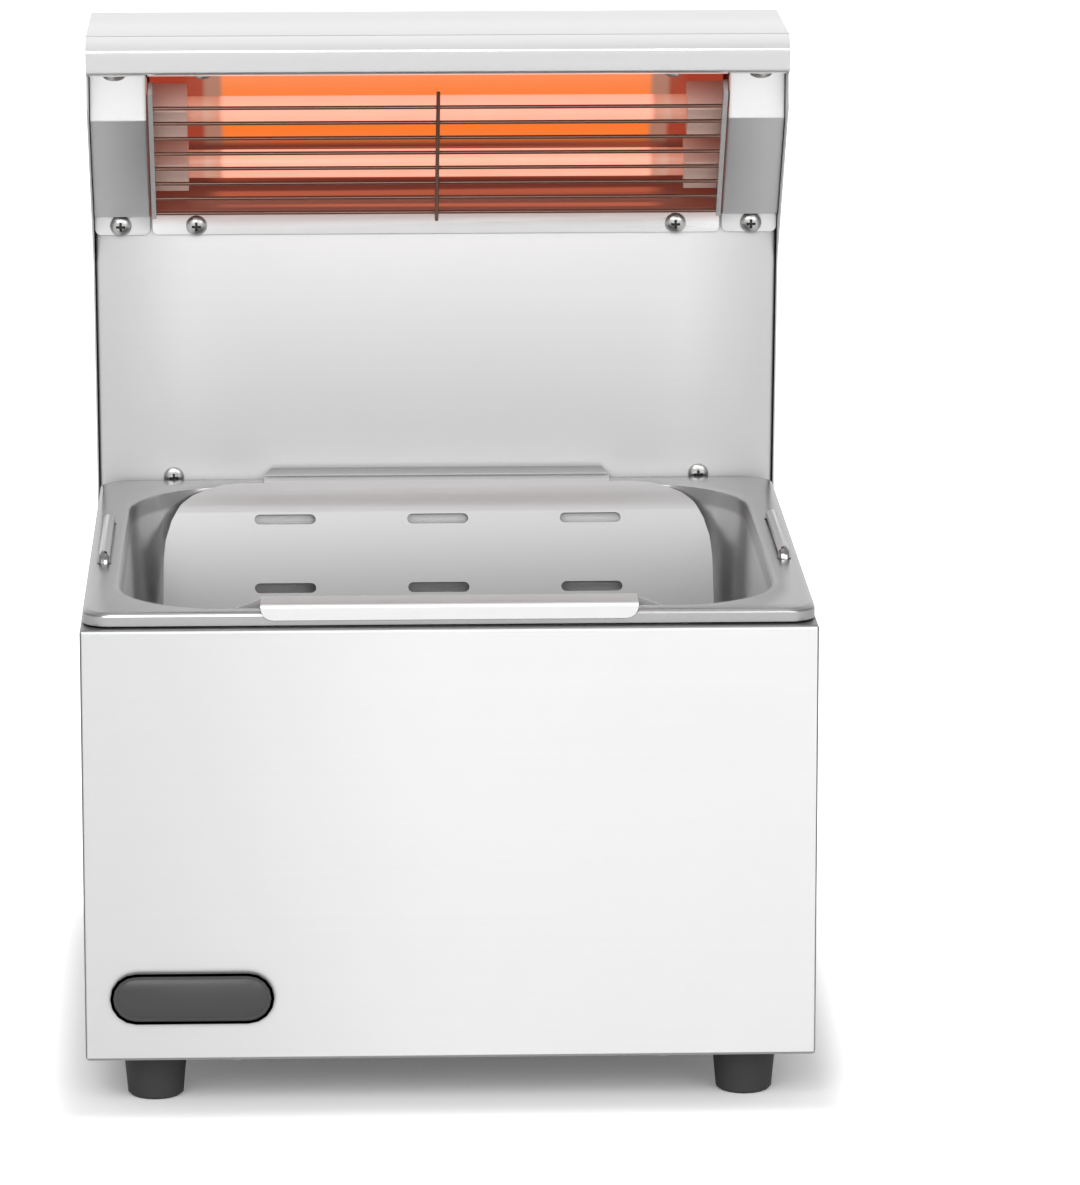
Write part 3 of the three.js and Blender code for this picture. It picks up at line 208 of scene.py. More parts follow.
# Spans between painted light and shade, by place; the hem's is measured from the sheet's lower
# edge
body_paling = (-170 * mm, 10 * mm)
body_hem = (0.9 * mm, 1.26 * mm)
column_darkening = (125 * mm, 176 * mm)
pan_wall = (body_top - 130 * mm, body_top - 15 * mm)
pan_rim = (body_top - 4 * mm, body_top - 1 * mm)
chute_rise = (180 * mm, 246 * mm)
front_to_back = (0, 10 * mm)
front_lip = (body_top - 0.5 * mm, body_top + 0.5 * mm)
back_lip = (rim_top + 1 * mm, rim_top + 2 * mm)

# Spans between painted light and shade, by the cosine between the way a face looks and another
# way
turned_sideways = (0.35, 0.6)
fully_sideways = (0.9, 0.98)
ledge_upward = (0.2, 0.5)
hood_upward = (0.15, 0.4)
trough_outward = (0.10, 0.16)

# The heater's opening: its upper edge, the way down it and the way in behind it
opening_top = Vector((0, 67.125 * mm, 464.2 * mm))
opening_down = Vector((0, 0.6338, -0.7735))
opening_in = Vector((0, 0.7735, 0.6338))

# Spans of the glow: inwards and downwards from the opening's edge, or sideways from the middle;
# the reflector's glow is painted light, the lamps' glow is their own
glow_inward = (2 * mm, 9 * mm)
glow_middle_span = (18 * mm, 42 * mm)
glow_low_span = (68 * mm, 78 * mm)
hot_edge = (109 * mm, 113 * mm)
cool_edge = (118.5 * mm, 122 * mm)
lit_edge = (hot_edge[0], cool_edge[1])
guard_bar_edge = (145.3 * mm, 145.7 * mm)

# Noise values between which a painted reflection streak appears, and the share of the glow that
# is mirrored
streak_span = (0.48, 0.62)
mirrored_glow = 0.03

# Light; the sky's levels are what metal mirrors, by how high and how far aside it is
sky_strength = 0.60
sky_horizon = 1.0
sky_middle = 0.42
sky_zenith = 1.0
sky_side = 0.42
sky_middle_span = (0.25, 0.75)
sky_zenith_span = (0.90, 0.98)
sky_side_span = (0.40, 0.85)
camera_white = 1.0
key_power = 44
key_size = (1.8, 1.8)
key_place = Vector((-0.7, -2.5, 1.9))
fill_power = 16
fill_size = (1.4, 1.4)
fill_place = Vector((1.3, -2.2, 1.3))
object_middle = Vector((0, 0, 0.25))
hood_light_power = 0.12
hood_light_size = (0.24, 0.05)
hood_light_place = Vector((0, 0.055, 0.425))
hood_light_aim = Vector((0, 0.03, 0.20))

# Floor; its glow is white away from the object and dim beside it
floor_size = 14
floor_colour = (0.92, 0.92, 0.92)
floor_roughness = 0.6
floor_shine = 0.1
floor_glow = 0.12
floor_far_glow = 0.95
floor_glow_span = (0.0, 48 * mm)


# Small steps in a node tree


def linked(tree, source, target):
    tree.links.new(source, target)


def shade(colour, factor):
    return tuple(channel * factor for channel in colour) + (1.0,)


def grey(level):
    return (level, level, level)


def object_place(tree):
    return tree.nodes.new("ShaderNodeTexCoord").outputs["Object"]


def stretched(tree, vector, scale):
    node = tree.nodes.new("ShaderNodeMapping")
    node.inputs["Scale"].default_value = scale
    linked(tree, vector, node.inputs["Vector"])
    return node.outputs["Vector"]


def noise_of(tree, vector, noise):
    """A noise value of 0 to 1 at a place."""
    node = tree.nodes.new("ShaderNodeTexNoise")
    for label, value in zip(("Scale", "Detail", "Roughness"), noise):
        node.inputs[label].default_value = value
    linked(tree, vector, node.inputs["Vector"])
    return node.outputs["Fac"]


def ranged(tree, value, low=0.0, high=1.0, span=(0.0, 1.0), smooth=False):
    """Spreads a value's span over low to high, which are numbers or sockets."""
    node = tree.nodes.new("ShaderNodeMapRange")
    if smooth:
        node.interpolation_type = "SMOOTHSTEP"
    linked(tree, value, node.inputs["Value"])
    for label, limit in zip(("From Min", "From Max", "To Min", "To Max"), (*span, low, high)):
        if isinstance(limit, (int, float)):
            node.inputs[label].default_value = limit
        else:
            linked(tree, limit, node.inputs[label])
    return node.outputs["Result"]


def vector_step(tree, operation, vector, other=None):
    """The node of one vector operation on a socket and, where it takes one, a fixed vector."""
    node = tree.nodes.new("ShaderNodeVectorMath")
    node.operation = operation
    linked(tree, vector, node.inputs[0])
    if other is not None:
        node.inputs[1].default_value = other
    return node


def coordinate(tree, vector, axis):
    split = tree.nodes.new("ShaderNodeSeparateXYZ")
    linked(tree, vector, split.inputs["Vector"])
    return split.outputs[axis]


def without_sign(tree, value):
    node = tree.nodes.new("ShaderNodeMath")
    node.operation = "ABSOLUTE"
    linked(tree, value, node.inputs[0])
    return node.outputs["Value"]


def product(tree, first, second):
    node = tree.nodes.new("ShaderNodeMath")
    node.operation = "MULTIPLY"
    linked(tree, first, node.inputs[0])
    linked(tree, second, node.inputs[1])
    return node.outputs["Value"]


def colour_mix(tree, factor, low, high):
    """Mixes two colours or colour sockets by a mask."""
    node = tree.nodes.new("ShaderNodeMix")
    node.data_type = "RGBA"
    linked(tree, factor, node.inputs["Factor"])
    for label, colour in (("A", low), ("B", high)):
        if isinstance(colour, tuple):
            node.inputs[label].default_value = shade(colour, 1.0)
        else:
            linked(tree, colour, node.inputs[label])
    return node.outputs["Result"]


def toned_with(tree, colour, tone):
    """Multiplies a colour socket by a tone socket."""
    node = tree.nodes.new("ShaderNodeMix")
    node.data_type = "RGBA"
    node.blend_type = "MULTIPLY"
    node.inputs["Factor"].default_value = 1.0
    linked(tree, colour, node.inputs["A"])
    linked(tree, tone, node.inputs["B"])
    return node.outputs["Result"]


def bump_into(tree, shader, height, strength, distance):
    bump = tree.nodes.new("ShaderNodeBump")
    bump.inputs["Strength"].default_value = strength
    bump.inputs["Distance"].default_value = distance
    linked(tree, height, bump.inputs["Height"])
    linked(tree, bump.outputs["Normal"], shader.inputs["Normal"])


# Grain that several finishes share


def new_group(name, *vectors):
    """A group that takes vectors, a roughness range and two tones; returns it and its ends."""
    group = bpy.data.node_groups.new(name, "ShaderNodeTree")
    inputs = [(label, "Vector") for label in vectors]
    inputs += [("Smoothest", "Float"), ("Roughest", "Float")]
    inputs += [("Dark Tone", "Color"), ("Light Tone", "Color")]
    outputs = [("Color", "Color"), ("Roughness", "Float"), ("Height", "Float")]
    for way, sockets in (("INPUT", inputs), ("OUTPUT", outputs)):
        for label, kind in sockets:
            group.interface.new_socket(label, in_out=way, socket_type=f"NodeSocket{kind}")
    return group, group.nodes.new("NodeGroupInput"), group.nodes.new("NodeGroupOutput")


def spread_marks(group, start, end, marks, height):
    """Lets the marks range over the group's roughness and tones, and passes the height on."""
    given = start.outputs
    rough = ranged(group, marks, given["Smoothest"], given["Roughest"])
    tone = colour_mix(group, marks, given["Dark Tone"], given["Light Tone"])
    for label, value in (("Color", tone), ("Roughness", rough), ("Height", height)):
        linked(group, value, end.inputs[label])


def make_grain_group():
    """Fine brush lines along the stretched direction, with faint cloudy handling marks."""
    group, start, end = new_group("brushed_grain", "Lines", "Place")
    lines = noise_of(group, start.outputs["Lines"], brush_noise)
    marks = noise_of(group, start.outputs["Place"], handling_noise)
    blend = group.nodes.new("ShaderNodeMix")
    blend.inputs["Factor"].default_value = handling_share
    linked(group, lines, blend.inputs["A"])
    linked(group, marks, blend.inputs["B"])
    spread_marks(group, start, end, blend.outputs["Result"], lines)
    return group


def make_moulding_group():
    """The fine grain and slight unevenness of moulded rubber, plastic and ceramic."""
    group, start, end = new_group("moulded_grain", "Place")
    grain = noise_of(group, start.outputs["Place"], moulding_noise)
    cloud = noise_of(group, start.outputs["Place"], cloud_noise)
    spread_marks(group, start, end, cloud, grain)
    return group


grain_group = make_grain_group()
moulding_group = make_moulding_group()


def grain_in(tree, group, colour, contrast, roughness, lines=None):
    """Puts a grain group into a material; returns its outputs."""
    grain = tree.nodes.new("ShaderNodeGroup")
    grain.node_tree = group
    place = object_place(tree)
    linked(tree, place, grain.inputs["Place"])
    if lines:
        linked(tree, stretched(tree, place, lines), grain.inputs["Lines"])
    for label, value in zip(("Smoothest", "Roughest"), roughness):
        grain.inputs[label].default_value = value
    grain.inputs["Dark Tone"].default_value = shade(colour, 1 - contrast)
    grain.inputs["Light Tone"].default_value = shade(colour, 1 + contrast)
    return grain.outputs


# Finishes, kept by name

finishes = {}


def new_finish(name):
    """Starts a finish with a Principled shader; returns its node tree and the shader."""
    material = bpy.data.materials.new(name)
    material.use_nodes = True
    finishes[name] = material
    tree = material.node_tree
    return tree, tree.nodes["Principled BSDF"]


# Masks by place and by the way a face looks


def along(tree, way, span):
    """0 to 1 over a span of distances from the origin, measured along a direction."""
    distance = vector_step(tree, "DOT_PRODUCT", object_place(tree), way)
    return ranged(tree, distance.outputs["Value"], span=span, smooth=True)


def along_from(tree, way, base, span):
    """0 to 1 over a span of distances from a base distance, measured along a direction."""
    return along(tree, way, [base + distance for distance in span])


def facing(tree, way, span):
    """1 on faces that look along a direction, 0 on those that look elsewhere."""
    normal = tree.nodes.new("ShaderNodeTexCoord").outputs["Normal"]
    cosine = vector_step(tree, "DOT_PRODUCT", normal, way)
    return ranged(tree, cosine.outputs["Value"], span=span)


def across_share(tree, span):
    """1 in the middle, falling to 0 over a span of distances to the left and the right."""
    sideways = without_sign(tree, coordinate(tree, object_place(tree), "X"))
    return ranged(tree, sideways, 1.0, 0.0, span, smooth=True)


# Painted light and shade on the sheets


def body_painted_light(tree):
    """Painted light and shade: the front pales towards its middle; its folds get painted dark
    reflections, its hem a painted shadow line, its upper ledge painted shade.
    """
    paler = along(tree, rightward, body_paling)
    sheet = colour_mix(tree, paler, grey(body_left_shade), grey(body_middle_light))
    for way in (-rightward, rightward):
        flat = facing(tree, way, fully_sideways)
        fold = colour_mix(tree, flat, grey(body_fold_shade), sheet)
        sheet = colour_mix(tree, facing(tree, way, turned_sideways), sheet, fold)
    hem = along_from(tree, up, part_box("body_wrap")[0][2], body_hem)
    sheet = colour_mix(tree, hem, grey(body_hem_shadow), sheet)
    ledge = facing(tree, up, ledge_upward)
    return colour_mix(tree, ledge, sheet, grey(body_ledge_shade))


def column_painted_shade(tree):
    """Painted shade: the column darkens a little towards both sides."""
    middle = across_share(tree, column_darkening)
    return colour_mix(tree, middle, grey(column_side_shade), grey(1.0))


def hood_painted_shade(tree):
    """Painted light and shade: the hood's upper faces are paler than its front lip."""
    upper = facing(tree, up, hood_upward)
    return colour_mix(tree, upper, grey(hood_front_shade), grey(1.0))


def pan_painted_light(tree):
    """Painted light and shade: the pan's walls are paler than its rim, and darken towards its
    floor.
    """
    high = along(tree, up, pan_wall)
    walls = colour_mix(tree, high, grey(pan_floor_shade), grey(pan_wall_light))
    return colour_mix(tree, along(tree, up, pan_rim), walls, grey(1.0))


def insert_painted_light(tree):
    """Painted light and shade: the chute darkens on its way down between a pale front lip and a
    grey back lip.
    """
    rising = along(tree, up, chute_rise)
    chute = colour_mix(tree, rising, grey(chute_low_shade), grey(chute_high_light))
    behind = along(tree, rearward, front_to_back)
    lips = colour_mix(tree, behind, grey(front_lip_light), grey(back_lip_shade))
    above = colour_mix(tree, behind, along(tree, up, front_lip), along(tree, up, back_lip))
    return colour_mix(tree, above, chute, lips)


# Materials


def shade_in_crevices(tree, colour):
    """Painted shade: darkens a colour in narrow gaps and seams, where little light gets in."""
    near = tree.nodes.new("ShaderNodeAmbientOcclusion")
    near.samples = crevice_samples
    near.inputs["Distance"].default_value = crevice_reach
    open_share = ranged(tree, near.outputs["AO"], span=crevice_span)
    return colour_mix(tree, open_share, crevice_shade_colour, colour)


def brushed_metal(
    name, colour, roughness, lines, contrast, grain_depth, metallic=1.0, tone=None
):
    """Metal with brush lines.

    A metallic share below 1 stands for the haze that fine brushing leaves on the sheet.
    A tone function paints light and shade on the sheet, making some parts paler or darker than
    others.
    """
    tree, shader = new_finish(name)
    grain = grain_in(tree, grain_group, colour, contrast, roughness, lines)
    shown = grain["Color"]
    if tone:
        shown = toned_with(tree, shown, tone(tree))
    linked(tree, shade_in_crevices(tree, shown), shader.inputs["Base Color"])
    linked(tree, grain["Roughness"], shader.inputs["Roughness"])
    shader.inputs["Metallic"].default_value = metallic
    bump_into(tree, shader, grain["Height"], metal_bump, grain_depth)


def moulded(name, colour, roughness, contrast, grain_depth, coat=0.0):
    """Rubber, plastic or ceramic with a fine grain."""
    tree, shader = new_finish(name)
    grain = grain_in(tree, moulding_group, colour, contrast, roughness)
    linked(tree, grain["Color"], shader.inputs["Base Color"])
    linked(tree, grain["Roughness"], shader.inputs["Roughness"])
    shader.inputs["Coat Weight"].default_value = coat
    bump_into(tree, shader, grain["Height"], moulded_bump, grain_depth)


def faded_ends(tree, middle, end):
    """The glow's middle, then a grey-brown band, then its dim end."""
    near = across_share(tree, hot_edge)
    far = across_share(tree, cool_edge)
    return colour_mix(tree, far, end, colour_mix(tree, near, glow_band_colour, middle))


def unmirrored(tree, colour):
    """Dims a glow in what other surfaces mirror, as the photograph shows next to none there."""
    path = tree.nodes.new("ShaderNodeLightPath")
    dimmed = ranged(tree, path.outputs["Is Glossy Ray"], 0.0, 1.0 - mirrored_glow)
    return colour_mix(tree, dimmed, colour, black)


def glowing(name, hot, cool, strength, roughness):
    """A hot surface whose glow fades towards the lamp's ends, with faint uneven patches."""
    tree, shader = new_finish(name)
    patches = noise_of(tree, object_place(tree), lamp_noise)
    deeper = tuple(channel * share for channel, share in zip(hot, lamp_patch_shares))
    glow = faded_ends(tree, colour_mix(tree, patches, deeper, hot), cool)
    linked(tree, unmirrored(tree, glow), shader.inputs["Emission Color"])
    shader.inputs["Emission Strength"].default_value = strength
    unlit = colour_mix(tree, across_share(tree, lit_edge), lamp_body_colour, cool)
    linked(tree, unlit, shader.inputs["Base Color"])
    shader.inputs["Roughness"].default_value = roughness


def guard_finish(name, roughness, metallic):
    """Warm dark wires between pale bars at both ends."""
    tree, shader = new_finish(name)
    wires = across_share(tree, guard_bar_edge)
    colour = colour_mix(tree, wires, bar_colour, guard_colour)
    linked(tree, colour, shader.inputs["Base Color"])
    marks = noise_of(tree, object_place(tree), wire_noise)
    linked(tree, ranged(tree, marks, *roughness), shader.inputs["Roughness"])
    shader.inputs["Metallic"].default_value = metallic


def painted_reflection_streaks(tree, low):
    """Painted reflections: thin bright streaks in the trough's low part, where it mirrors the
    lamps.
    """
    noise = noise_of(tree, stretched(tree, object_place(tree), streak_lines), streak_noise)
    streaks = product(tree, ranged(tree, noise, span=streak_span), low)
    return product(tree, streaks, across_share(tree, lit_edge))


def reflector_painted_glow(name, roughness, contrast, grain_depth, metallic, strength):
    """Bright metal with a painted glow inside the trough, standing for the lamps' light on it:
    orange by the lamps, red-brown low down.
    """
    tree, shader = new_finish(name)
    grain = grain_in(tree, grain_group, reflector_colour, contrast, roughness, bright_lines)
    inside = along_from(tree, opening_in, opening_top.dot(opening_in), glow_inward)
    colour = colour_mix(tree, inside, grain["Color"], trough_colour)
    linked(tree, colour, shader.inputs["Base Color"])
    linked(tree, grain["Roughness"], shader.inputs["Roughness"])
    shader.inputs["Metallic"].default_value = metallic
    edge = opening_top.dot(opening_down)
    middle = along_from(tree, opening_down, edge, glow_middle_span)
    low = along_from(tree, opening_down, edge, glow_low_span)
    warm = colour_mix(tree, middle, glow_top_colour, glow_middle_colour)
    warm = faded_ends(tree, warm, glow_end_colour)
    warm = colour_mix(tree, low, warm, glow_low_colour)
    warm = colour_mix(tree, painted_reflection_streaks(tree, low), warm, reflection_streak_colour)
    lit = product(tree, inside, facing(tree, -opening_in, trough_outward))
    shown = colour_mix(tree, lit, black, warm)
    linked(tree, unmirrored(tree, shown), shader.inputs["Emission Color"])
    shader.inputs["Emission Strength"].default_value = strength
    bump_into(tree, shader, grain["Height"], metal_bump, grain_depth)


def make_finishes():
    """Every finish of the station; each sheet has roughness and grain of its own."""
    brushed_metal(
        "body_steel",
        steel_colour,
        roughness=(0.30, 0.44),
        lines=level_lines,
        contrast=0.03,
        grain_depth=0.03 * mm,
        metallic=0.7,
        tone=body_painted_light,
    )
    brushed_metal(
        "column_steel",
        column_colour,
        roughness=(0.42, 0.56),
        lines=level_lines,
        contrast=0.03,
        grain_depth=0.03 * mm,
        metallic=0.3,
        tone=column_painted_shade,
    )
    brushed_metal(
        "hood_steel",
        hood_colour,
        roughness=(0.26, 0.36),
        lines=bright_lines,
        contrast=0.02,
        grain_depth=0.008 * mm,
        metallic=0.95,
        tone=hood_painted_shade,
    )
    brushed_metal(
        "cover_steel",
        cover_shaded_colour,
        roughness=(0.26, 0.36),
        lines=bright_lines,
        contrast=0.02,
        grain_depth=0.008 * mm,
        metallic=0.95,
    )
    brushed_metal(
        "pan_steel",
        pan_colour,
        roughness=(0.18, 0.32),
        lines=bright_lines,
        contrast=0.03,
        grain_depth=0.015 * mm,
        metallic=0.85,
        tone=pan_painted_light,
    )
    brushed_metal(
        "insert_steel",
        insert_colour,
        roughness=(0.42, 0.54),
        lines=bright_lines,
        contrast=0.02,
        grain_depth=0.01 * mm,
        metallic=0.92,
        tone=insert_painted_light,
    )
    brushed_metal(
        "wire_steel",
        pan_colour,
        roughness=(0.12, 0.22),
        lines=deep_lines,
        contrast=0.03,
        grain_depth=0.01 * mm,
    )
    brushed_metal(
        "end_metal",
        end_colour,
        roughness=(0.25, 0.4),
        lines=bright_lines,
        contrast=0.05,
        grain_depth=0.01 * mm,
    )
    # Painted shade for the screws' recesses
    brushed_metal(
        "recess_painted_shade",
        recess_shade_colour,
        roughness=(0.4, 0.6),
        lines=deep_lines,
        contrast=0.05,
        grain_depth=0.01 * mm,
        metallic=0.6,
    )
    brushed_metal(
        "screw_steel",
        screw_colour,
        roughness=(0.26, 0.40),
        lines=deep_lines,
        contrast=0.05,
        grain_depth=0.01 * mm,
    )
    guard_finish("guard_steel", roughness=(0.26, 0.40), metallic=0.9)
    reflector_painted_glow(
        "reflector_metal",
        roughness=(0.22, 0.36),
        contrast=0.04,
        grain_depth=0.02 * mm,
        metallic=0.85,
        strength=0.9,
    )
    moulded(
        "foot_rubber",
        rubber_colour,
        roughness=(0.55, 0.75),
        contrast=0.2,
        grain_depth=0.05 * mm,
    )
    moulded(
        "badge_plastic",
        badge_colour,
        roughness=(0.34, 0.46),
        contrast=0.08,
        grain_depth=0.02 * mm,
        coat=0.1,
    )
    moulded(
        "black_plastic",
        black_colour,
        roughness=(0.35, 0.5),
        contrast=0.2,
        grain_depth=0.04 * mm,
    )
    moulded(
        "lead_sleeve",
        sleeve_colour,
        roughness=(0.6, 0.8),
        contrast=0.25,
        grain_depth=0.1 * mm,
    )
    moulded(
        "lamp_ceramic",
        ceramic_colour,
        roughness=(0.6, 0.8),
        contrast=0.08,
        grain_depth=0.04 * mm,
    )
    moulded(
        "terminal_ceramic",
        terminal_colour,
        roughness=(0.5, 0.7),
        contrast=0.06,
        grain_depth=0.04 * mm,
    )
    glowing(
        "lamp_quartz", lamp_hot_colour, lamp_cool_colour, strength=0.95, roughness=0.25
    )
    glowing("lamp_coil", coil_colour, lamp_cool_colour, strength=3.0, roughness=0.6)


# Pieces

body_of_node = {
    node: body
    for body, nodes in frame["record"]["behaviour"]["bodies"].items()
    for node in nodes
}


def clean_copy(node):
    """The CAD node's mesh with its loose triangles merged and its flat faces joined."""
    source = frame["nodes"][node].data
    shape = bmesh.new()
    shape.from_mesh(source)
    bmesh.ops.remove_doubles(shape, verts=shape.verts[:], dist=merge_distance)
    bmesh.ops.dissolve_limit(
        shape,
        angle_limit=flat_angle,
        verts=shape.verts[:],
        edges=shape.edges[:],
    )
    return shape


def add_piece(node, shape, finish):
    """Makes the piece that is shown for a CAD node out of a bmesh, with a finish."""
    name = f"{node}_shown"
    mesh = bpy.data.meshes.new(name)
    shape.to_mesh(mesh)
    shape.free()
    mesh.shade_smooth()
    mesh.set_sharp_from_angle(angle=smooth_angle)
    mesh.materials.append(finishes[finish])
    made = bpy.data.objects.new(name, mesh)
    bpy.context.scene.collection.objects.link(made)
    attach(made, body_of_node[node])
    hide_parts(node)
    return made


def dress(node, finish, edge=0.0):
    """Shows the node with smooth curves, softened edges and its finish."""
    made = add_piece(node, clean_copy(node), finish)
    if edge:
        bevel = made.modifiers.new("soft_edges", "BEVEL")
        bevel.width = edge
        bevel.segments = edge_segments
        bevel.limit_method = "ANGLE"
        bevel.angle_limit = edge_angle
        bevel.use_clamp_overlap = True
        bevel.harden_normals = False
    return made


def open_rim_seam(pan):
    """Lifts the rim's turned-down edge a little, so that a dark line shows under it."""
    for vertex in pan.data.vertices:
        if abs(vertex.co.z - rim_skirt_end) < rim_skirt_tolerance:
            vertex.co.z += rim_shadow_gap


def dress_badge():
    """The badge, with a raised rim round its flat front, which stays bare."""
    shape = clean_copy("badge_plate")
    front = [face for face in shape.faces if face.normal.y < -badge_front_cosine]
    for inset, drop in ((badge_rim, 0.0), (badge_rim_slope, badge_rim_height)):
        bmesh.ops.inset_region(
            shape, faces=front, thickness=inset, depth=drop, use_even_offset=True
        )
    add_piece("badge_plate", shape, "badge_plastic")


def paint(node, finish):
    """Gives a CAD node that is shown as it is its finish."""
    for slot in frame["nodes"][node].material_slots:
        slot.material = finishes[finish]


# Each screw looks along its own axis; the column's screws lean with it
column_lean = math.atan(column_slope)
leaning_front = Vector((0, -math.cos(column_lean), -math.sin(column_lean)))
screw_axes = {
    "splash_screw": leaning_front,
    "band_screw": leaning_front,
    "hood_screw": -up,
    "base_screw": -up,
    "shell_screw": rearward,
}


def measure_screw(node, axis):
    """The screw's seat point, head radius, dome height and shank, read from its CAD mesh."""
    points = [vertex.co.copy() for vertex in frame["nodes"][node].data.vertices]
    low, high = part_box(node)
    middle = (Vector(low) + Vector(high)) / 2
    heights = [(point - middle).dot(axis) for point in points]
    spokes = [point - middle - axis * height for point, height in zip(points, heights)]
    side = sum(spokes, Vector()) / len(spokes)
    reaches = [(spoke - side).length for spoke in spokes]
    radius = max(reaches)
    widest = radius * seat_radius_share
    seat = min(height for height, reach in zip(heights, reaches) if reach > widest)
    return {
        "seat": middle + side + axis * seat,
        "radius": radius,
        "dome": max(heights) - seat,
        "depth": seat - min(heights),
    }


def screw_head(node):
    """A domed head with a cross recess, on a plain shank."""
    axis = next(axis for name, axis in screw_axes.items() if node.startswith(name))
    size = measure_screw(node, axis)
    shape = bmesh.new()
    profile = [shape.verts.new((size["radius"], 0, 0))]
    for ring in range(1, dome_rings + 1):
        angle = math.pi / 2 * ring / dome_rings
        reach = max(size["radius"] * math.cos(angle), 0.0)
        profile.append(shape.verts.new((reach, 0, size["dome"] * math.sin(angle))))
    shank_radius = size["radius"] * shank_share
    under = shape.verts.new((shank_radius, 0, 0))
    tip = shape.verts.new((shank_radius, 0, -size["depth"]))
    end = shape.verts.new((0, 0, -size["depth"]))
    chain = [end, tip, under] + profile
    edges = [shape.edges.new(pair) for pair in zip(chain, chain[1:])]
    bmesh.ops.spin(
        shape,
        geom=chain + edges,
        cent=(0, 0, 0),
        axis=(0, 0, 1),
        angle=math.tau,
        steps=head_sides,
        use_merge=True,
    )
    bmesh.ops.remove_doubles(shape, verts=shape.verts[:], dist=merge_distance)
    bmesh.ops.recalc_face_normals(shape, faces=shape.faces[:])
    made = add_piece(node, shape, "screw_steel")
    for turn in (0, math.pi / 2):
        cut_slot(made, size, turn)
    made.data.set_sharp_from_angle(angle=smooth_angle)
    turned = axis.to_track_quat("Z", "Y").to_matrix().to_4x4()
    made.data.transform(Matrix.Translation(size["seat"]) @ turned)


def slot_cutter(size, turn):
    """A bar that narrows downwards, for one slot of the cross recess; it passes the recess's
    painted shade on to the cut faces.
    """
    length = size["radius"] * recess_length_share
    floor = size["dome"] * (1 - recess_depth_share)
    shape = bmesh.new()
    bmesh.ops.create_cube(shape, size=1.0)
    for vertex in shape.verts:
        upper = vertex.co.z > 0
        vertex.co.x *= length if upper else length * recess_floor_share
        vertex.co.y *= size["radius"] * recess_width_share
        vertex.co.z = size["dome"] * cutter_height_share if upper else floor
    turned = Matrix.Rotation(turn, 3, "Z")
    bmesh.ops.rotate(shape, cent=(0, 0, 0), matrix=turned, verts=shape.verts[:])
    mesh = bpy.data.meshes.new("recess_cutter")
    shape.to_mesh(mesh)
    shape.free()
    mesh.materials.append(finishes["recess_painted_shade"])
    return mesh


def cut_slot(made, size, turn):
    """Cuts one slot of the recess into a head that still stands upright at the origin."""
    mesh = slot_cutter(size, turn)
    cutter = bpy.data.objects.new("recess_cutter", mesh)
    bpy.context.scene.collection.objects.link(cutter)
    cut = made.modifiers.new("recess", "BOOLEAN")
    cut.operation = "DIFFERENCE"
    cut.object = cutter
    cut.solver = "EXACT"
    cut.material_mode = "TRANSFER"
    bpy.context.view_layer.update()
    shown = made.evaluated_get(bpy.context.evaluated_depsgraph_get())
    carved = bpy.data.meshes.new_from_object(shown)
    made.modifiers.clear()
    made.data = carved
    bpy.data.objects.remove(cutter)
    bpy.data.meshes.remove(mesh)


def dress_station():
    """Gives every piece of the station its looks."""
    folded_sheets = {
        "body_wrap": "body_steel",
        "base_plate": "body_steel",
        "rear_shell": "column_steel",
        "splash_panel": "column_steel",
        "rear_rail": "column_steel",
        "hood_cover": "hood_steel",
        "terminal_cover_left": "cover_steel",
        "terminal_cover_right": "cover_steel",
        "reflector": "reflector_metal",
        "reflector_end_left": "end_metal",
        "reflector_end_right": "end_metal",
    }
    for node, finish in folded_sheets.items():
        dress(node, finish, sheet_edge)
    open_rim_seam(dress("pan", "pan_steel", sheet_edge))
    dress("drain_insert", "insert_steel", sheet_edge)
    for side in ("left", "right"):
        dress(f"pan_handle_{side}", "wire_steel")
    dress("lamp_guard", "guard_steel")
    for row in ("upper", "lower"):
        dress(f"quartz_lamp_{row}", "lamp_quartz")
        paint(f"lamp_element_{row}", "lamp_coil")
        for side in ("left", "right"):
            dress(f"lamp_holder_{row}_{side}", "lamp_ceramic", moulded_edge)
    for corner in ("front_left", "front_right", "back_left", "back_right"):
        dress(f"foot_{corner}", "foot_rubber", moulded_edge)
        paint(f"foot_screw_{corner}", "screw_steel")
    dress_badge()
    for node in ("switch_housing", "switch_rocker", "cable_gland"):
        dress(node, "black_plastic", sheet_edge)
    paint("gland_nut", "black_plastic")
    paint("terminal_block", "terminal_ceramic")
    for node in ("switch_lead", "lamp_lead"):
        paint(node, "lead_sleeve")
    for node in frame["nodes"]:
        if any(node.startswith(name) for name in screw_axes):
            screw_head(node)


# Floor, light and camera


def floor_distance(tree):
    """How far a place on the floor is from the rectangle that the object covers."""
    beside = vector_step(tree, "ABSOLUTE", object_place(tree)).outputs["Vector"]
    half = (cad_high[0], cad_high[1], 0)
    outside = vector_step(tree, "SUBTRACT", beside, half).outputs["Vector"]
    beyond = vector_step(tree, "MAXIMUM", outside, (0, 0, 0)).outputs["Vector"]
    return vector_step(tree, "LENGTH", beyond).outputs["Value"]


